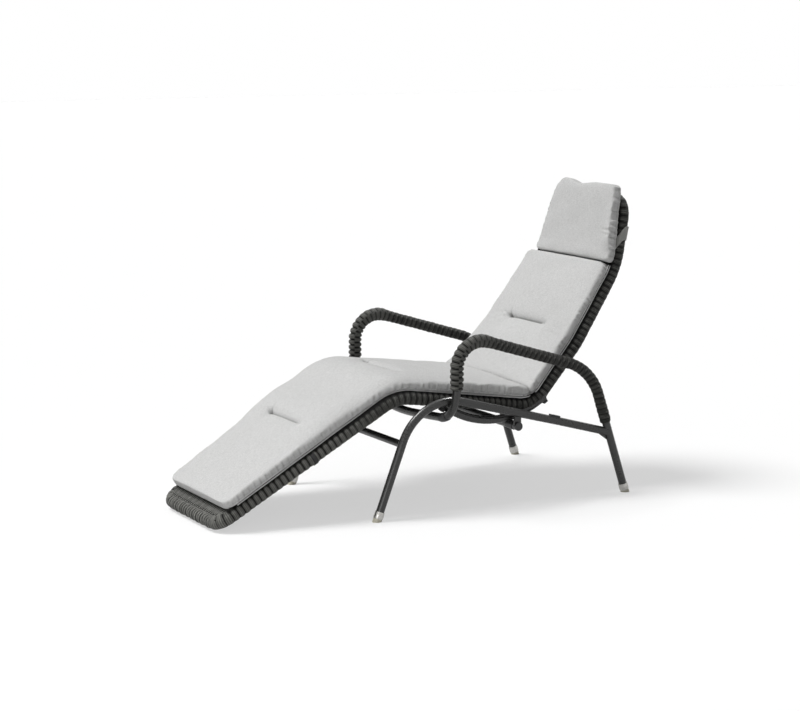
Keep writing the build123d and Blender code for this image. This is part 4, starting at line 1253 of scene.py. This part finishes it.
class ARMCHAIR_OT_cushions(bpy.types.Operator):
    """Make the seat, back and head cushions"""

    bl_idname = "armchair.cushions"
    bl_label = "Cushions"

    def execute(self, context):
        sizes, colours = context.scene.armchair_sizes, context.scene.armchair_colours
        finish = cloth_finish("cushion_cloth", colours.cloth)
        for name, shape, voxel, lines, body, seed, sags in CUSHIONS:
            mesh = pad_mesh(f"{name}_pad", shape, FIRM_CROWN)
            piece = plumped(f"{name}_cover", mesh, shape, voxel, sizes.swell, lines, sizes.tuft_depth)
            points = mesh_points(piece.data)
            place = shell_place(points)
            seam = np.zeros(len(points))
            for line in lines:
                dip = tuft_folds(place, line) * top_share(place, shape)
                points = sunk(points, place, dip)
                # Painted shade in the tuft's groove
                seam += np.clip(dip / STITCH_DEPTH_SEEN, 0, 1) ** 2
            points = sunk(points, place, near_sag(place, shape, sags))
            crease = crease_line(place, shape) * top_share(place, shape)
            points = sunk(points, place, CREASE_DEPTH * crease)
            # Painted shade in the crease between pads and along the foot of the sides
            seam += 0.8 * crease + sides_painted_shade(place, shape)
            if body == "headrest":
                points = askew(pinched(points, place, shape), place)
            points = gathered(points, place, shape, GATHERS, seed)
            points = rolled(points, place, shape, seed)
            move_points(piece.data, points)
            dress_cushion(piece, finish, place, seam)
            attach(piece, body)
            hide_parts(name)
        return {"FINISHED"}


class ARMCHAIR_OT_piping(bpy.types.Operator):
    """Sew the piping along the lower edges of the cushions"""

    bl_idname = "armchair.piping"
    bl_label = "Piping"

    def execute(self, context):
        colours = context.scene.armchair_colours
        # The piping is a lighter copy of the cover cloth: painted light
        finish = cloth_finish("piping_cloth", tuple(min(1.0, c * PIPING_PAINTED_LIGHT) for c in colours.cloth))
        for name, shape in (("seat_piping", SEAT_SHAPE), ("back_piping", BACK_SHAPE)):
            start, end = shape.span
            runs = np.arange(start + shape.corner, end - 0.002, PIPING_STEP)
            grids = []
            for side in (-1, 1):
                for level in PIPING_LEVELS:
                    y = side * (shape.half(runs) + 0.0012 + 0.0006 * waves(runs, 3, 0.05, 0.2, 9))
                    grids.append(tube_along(shell_point(runs, y, PAD_BASE + level), PIPING_R))
            new_piece(name, joined(name, grids), "shell", finish)
        return {"FINISHED"}


class ARMCHAIR_OT_strap(bpy.types.Operator):
    """Put the strap round the head end and finish the ties"""

    bl_idname = "armchair.strap"
    bl_label = "Strap and ties"

    def execute(self, context):
        """The tape goes round one rim, across the back and round the other, lower at its ends."""
        colours = context.scene.armchair_colours
        half = float(shell_half_width(STRAP_AT))
        outer = RIM_R + STRAP_OFF_RIM + STRAP_THICK / 2
        bend, behind, rows, tuck, climbed = 24, 38, 7, 0.020, 0.55
        t = np.linspace(0.15, np.pi, bend)
        turn_y, turn_h = half + outer * np.sin(t), outer * np.cos(t)
        across_back = np.linspace(half, -half, behind + 2)[1:-1]
        y = np.concatenate([[half - tuck], turn_y, across_back, -turn_y[::-1], [-half + tuck]])
        h = np.concatenate([[outer], turn_h, np.full(behind, -outer), turn_h[::-1], [outer]])
        climb = smooth_step(0.0, climbed, np.linspace(0, 1, bend))
        rise = np.concatenate([[0], climb, np.ones(behind), climb[::-1], [0]])
        across = np.linspace(-STRAP_WIDTH / 2, STRAP_WIDTH / 2, rows)
        q = STRAP_AT + across[:, None] - STRAP_DROP * (1 - rise)[None, :]
        points = shell_point(q, y[None, :], h[None, :])
        along = run_lengths(points[rows // 2])
        u = np.broadcast_to(along, points.shape[:2])
        v = np.broadcast_to(across[:, None], points.shape[:2])
        mesh = grid_mesh("head_strap_tape", points, uv=(u, v))
        finish = webbing_finish("strap_webbing", colours.strap)
        strap = new_piece("head_strap_tape", mesh, "headrest", finish, ("head_strap",))
        solid = strap.modifiers.new("Thickness", "SOLIDIFY")
        solid.thickness, solid.offset = STRAP_THICK, 0.0
        wear(("cushion_ties",), plastic_finish("tie_tape", BLACK_TAPE, roughness=0.8))
        return {"FINISHED"}


def floor_finish():
    """Pale floor that keeps the shadow, whiter where the camera, gloss or glass looks at it."""
    finish = Finish("pale_floor", Roughness=0.9, Specular_IOR_Level=0.1)
    camera, gloss, glass = [finish.node("ShaderNodeLightPath", output=name) for name in RAYS]
    looked_at = camera.most(gloss).most(glass)
    finish.feed("Base Color", finish.blend(looked_at, (0.5, 0.5, 0.5, 1.0), (0.96, 0.96, 0.96, 1.0)))
    white = finish.node("ShaderNodeEmission", None, {"Color": WHITE, "Strength": 1.0})
    mixed = finish.node("ShaderNodeMixShader", None, {
        0: looked_at * FLOOR_GLOW, 1: Signal(finish, finish.shader.outputs[0]), 2: white})
    finish.tree.links.new(mixed.socket, finish.tree.nodes["Material Output"].inputs[0])
    return finish.material


class ARMCHAIR_OT_stage(bpy.types.Operator):
    """Set the floor, the lamps, the sky and the camera"""

    bl_idname = "armchair.stage"
    bl_label = "Stage"

    def execute(self, context):
        scene = context.scene
        scene.view_settings.view_transform = "Standard"
        floor = bpy.data.meshes.new("floor")
        size = FLOOR_SIZE
        corners = [(-size, -size, 0), (size, -size, 0), (size, size, 0), (-size, size, 0)]
        floor.from_pydata(corners, [], [(0, 1, 2, 3)])
        ground = bpy.data.objects.new("floor", floor)
        scene.collection.objects.link(ground)
        floor.materials.append(floor_finish())
        for name, kind, energy, width, place in LAMPS:
            lamp = bpy.data.lights.new(name, kind)
            lamp.energy = energy
            setattr(lamp, "angle" if kind == "SUN" else "size", width)
            light = bpy.data.objects.new(name, lamp)
            scene.collection.objects.link(light)
            light.location = place
            light.rotation_mode = "QUATERNION"
            light.rotation_quaternion = Vector(place).to_track_quat("Z", "Y")
            light.visible_diffuse = name != "gleam"
        self.sky(scene)
        lens = bpy.data.cameras.new("camera")
        lens.lens, lens.sensor_width = CAMERA_LENS, CAMERA_FILM
        lens.clip_end = 100.0
        camera = bpy.data.objects.new("camera", lens)
        scene.collection.objects.link(camera)
        camera.location = CAMERA_PLACE
        camera.rotation_mode = "QUATERNION"
        camera.rotation_quaternion = (-Vector(CAMERA_BACK)).to_track_quat("-Z", "Y")
        scene.camera = camera
        return {"FINISHED"}

    def sky(self, scene):
        """Soft sky that is plain white to the camera, gloss and glass."""
        world = bpy.data.worlds.new("studio")
        scene.world = world
        world.use_nodes = True
        nodes, links = world.node_tree.nodes, world.node_tree.links
        nodes.clear()
        out, mix, soft, white, path, most, most_too = (nodes.new(kind) for kind in (
            "ShaderNodeOutputWorld", "ShaderNodeMixShader", "ShaderNodeBackground", "ShaderNodeBackground",
            "ShaderNodeLightPath", "ShaderNodeMath", "ShaderNodeMath"))
        for light, strength in ((soft, SKY_STRENGTH), (white, 1.0)):
            light.inputs["Color"].default_value = WHITE
            light.inputs["Strength"].default_value = strength
        most.operation = most_too.operation = "MAXIMUM"
        camera, gloss, glass = [path.outputs[name] for name in RAYS]
        for start, end in (
                (camera, most.inputs[0]), (gloss, most.inputs[1]),
                (most.outputs[0], most_too.inputs[0]), (glass, most_too.inputs[1]),
                (most_too.outputs[0], mix.inputs[0]), (soft.outputs[0], mix.inputs[1]),
                (white.outputs[0], mix.inputs[2]), (mix.outputs[0], out.inputs[0])):
            links.new(start, end)


STEPS = ("stage", "tubes", "fittings", "arm_wraps", "woven_rim", "woven_deck", "cushions", "piping", "strap")


class ARMCHAIR_PT_panel(bpy.types.Panel):
    """Sizes, colours and the steps that dress the chair"""

    bl_label = "Reclining armchair"
    bl_idname = "ARMCHAIR_PT_panel"
    bl_space_type = "VIEW_3D"
    bl_region_type = "UI"
    bl_category = "Armchair"

    def draw(self, context):
        for group in (context.scene.armchair_sizes, context.scene.armchair_colours):
            box = self.layout.box()
            for key in group.__annotations__:
                box.prop(group, key)
        column = self.layout.column()
        for step in STEPS:
            column.operator(f"armchair.{step}")


CLASSES = (
    ArmchairSizes, ArmchairColours, ARMCHAIR_OT_stage, ARMCHAIR_OT_tubes, ARMCHAIR_OT_fittings,
    ARMCHAIR_OT_arm_wraps, ARMCHAIR_OT_woven_rim, ARMCHAIR_OT_woven_deck, ARMCHAIR_OT_cushions,
    ARMCHAIR_OT_piping, ARMCHAIR_OT_strap, ARMCHAIR_PT_panel,
)


def register():
    for cls in CLASSES:
        bpy.utils.register_class(cls)
    bpy.types.Scene.armchair_sizes = bpy.props.PointerProperty(type=ArmchairSizes)
    bpy.types.Scene.armchair_colours = bpy.props.PointerProperty(type=ArmchairColours)


def unregister():
    del bpy.types.Scene.armchair_colours
    del bpy.types.Scene.armchair_sizes
    for cls in reversed(CLASSES):
        bpy.utils.unregister_class(cls)


def main():
    register()
    for step in STEPS:
        getattr(bpy.ops.armchair, step)()


if __name__ == "__main__":
    main()
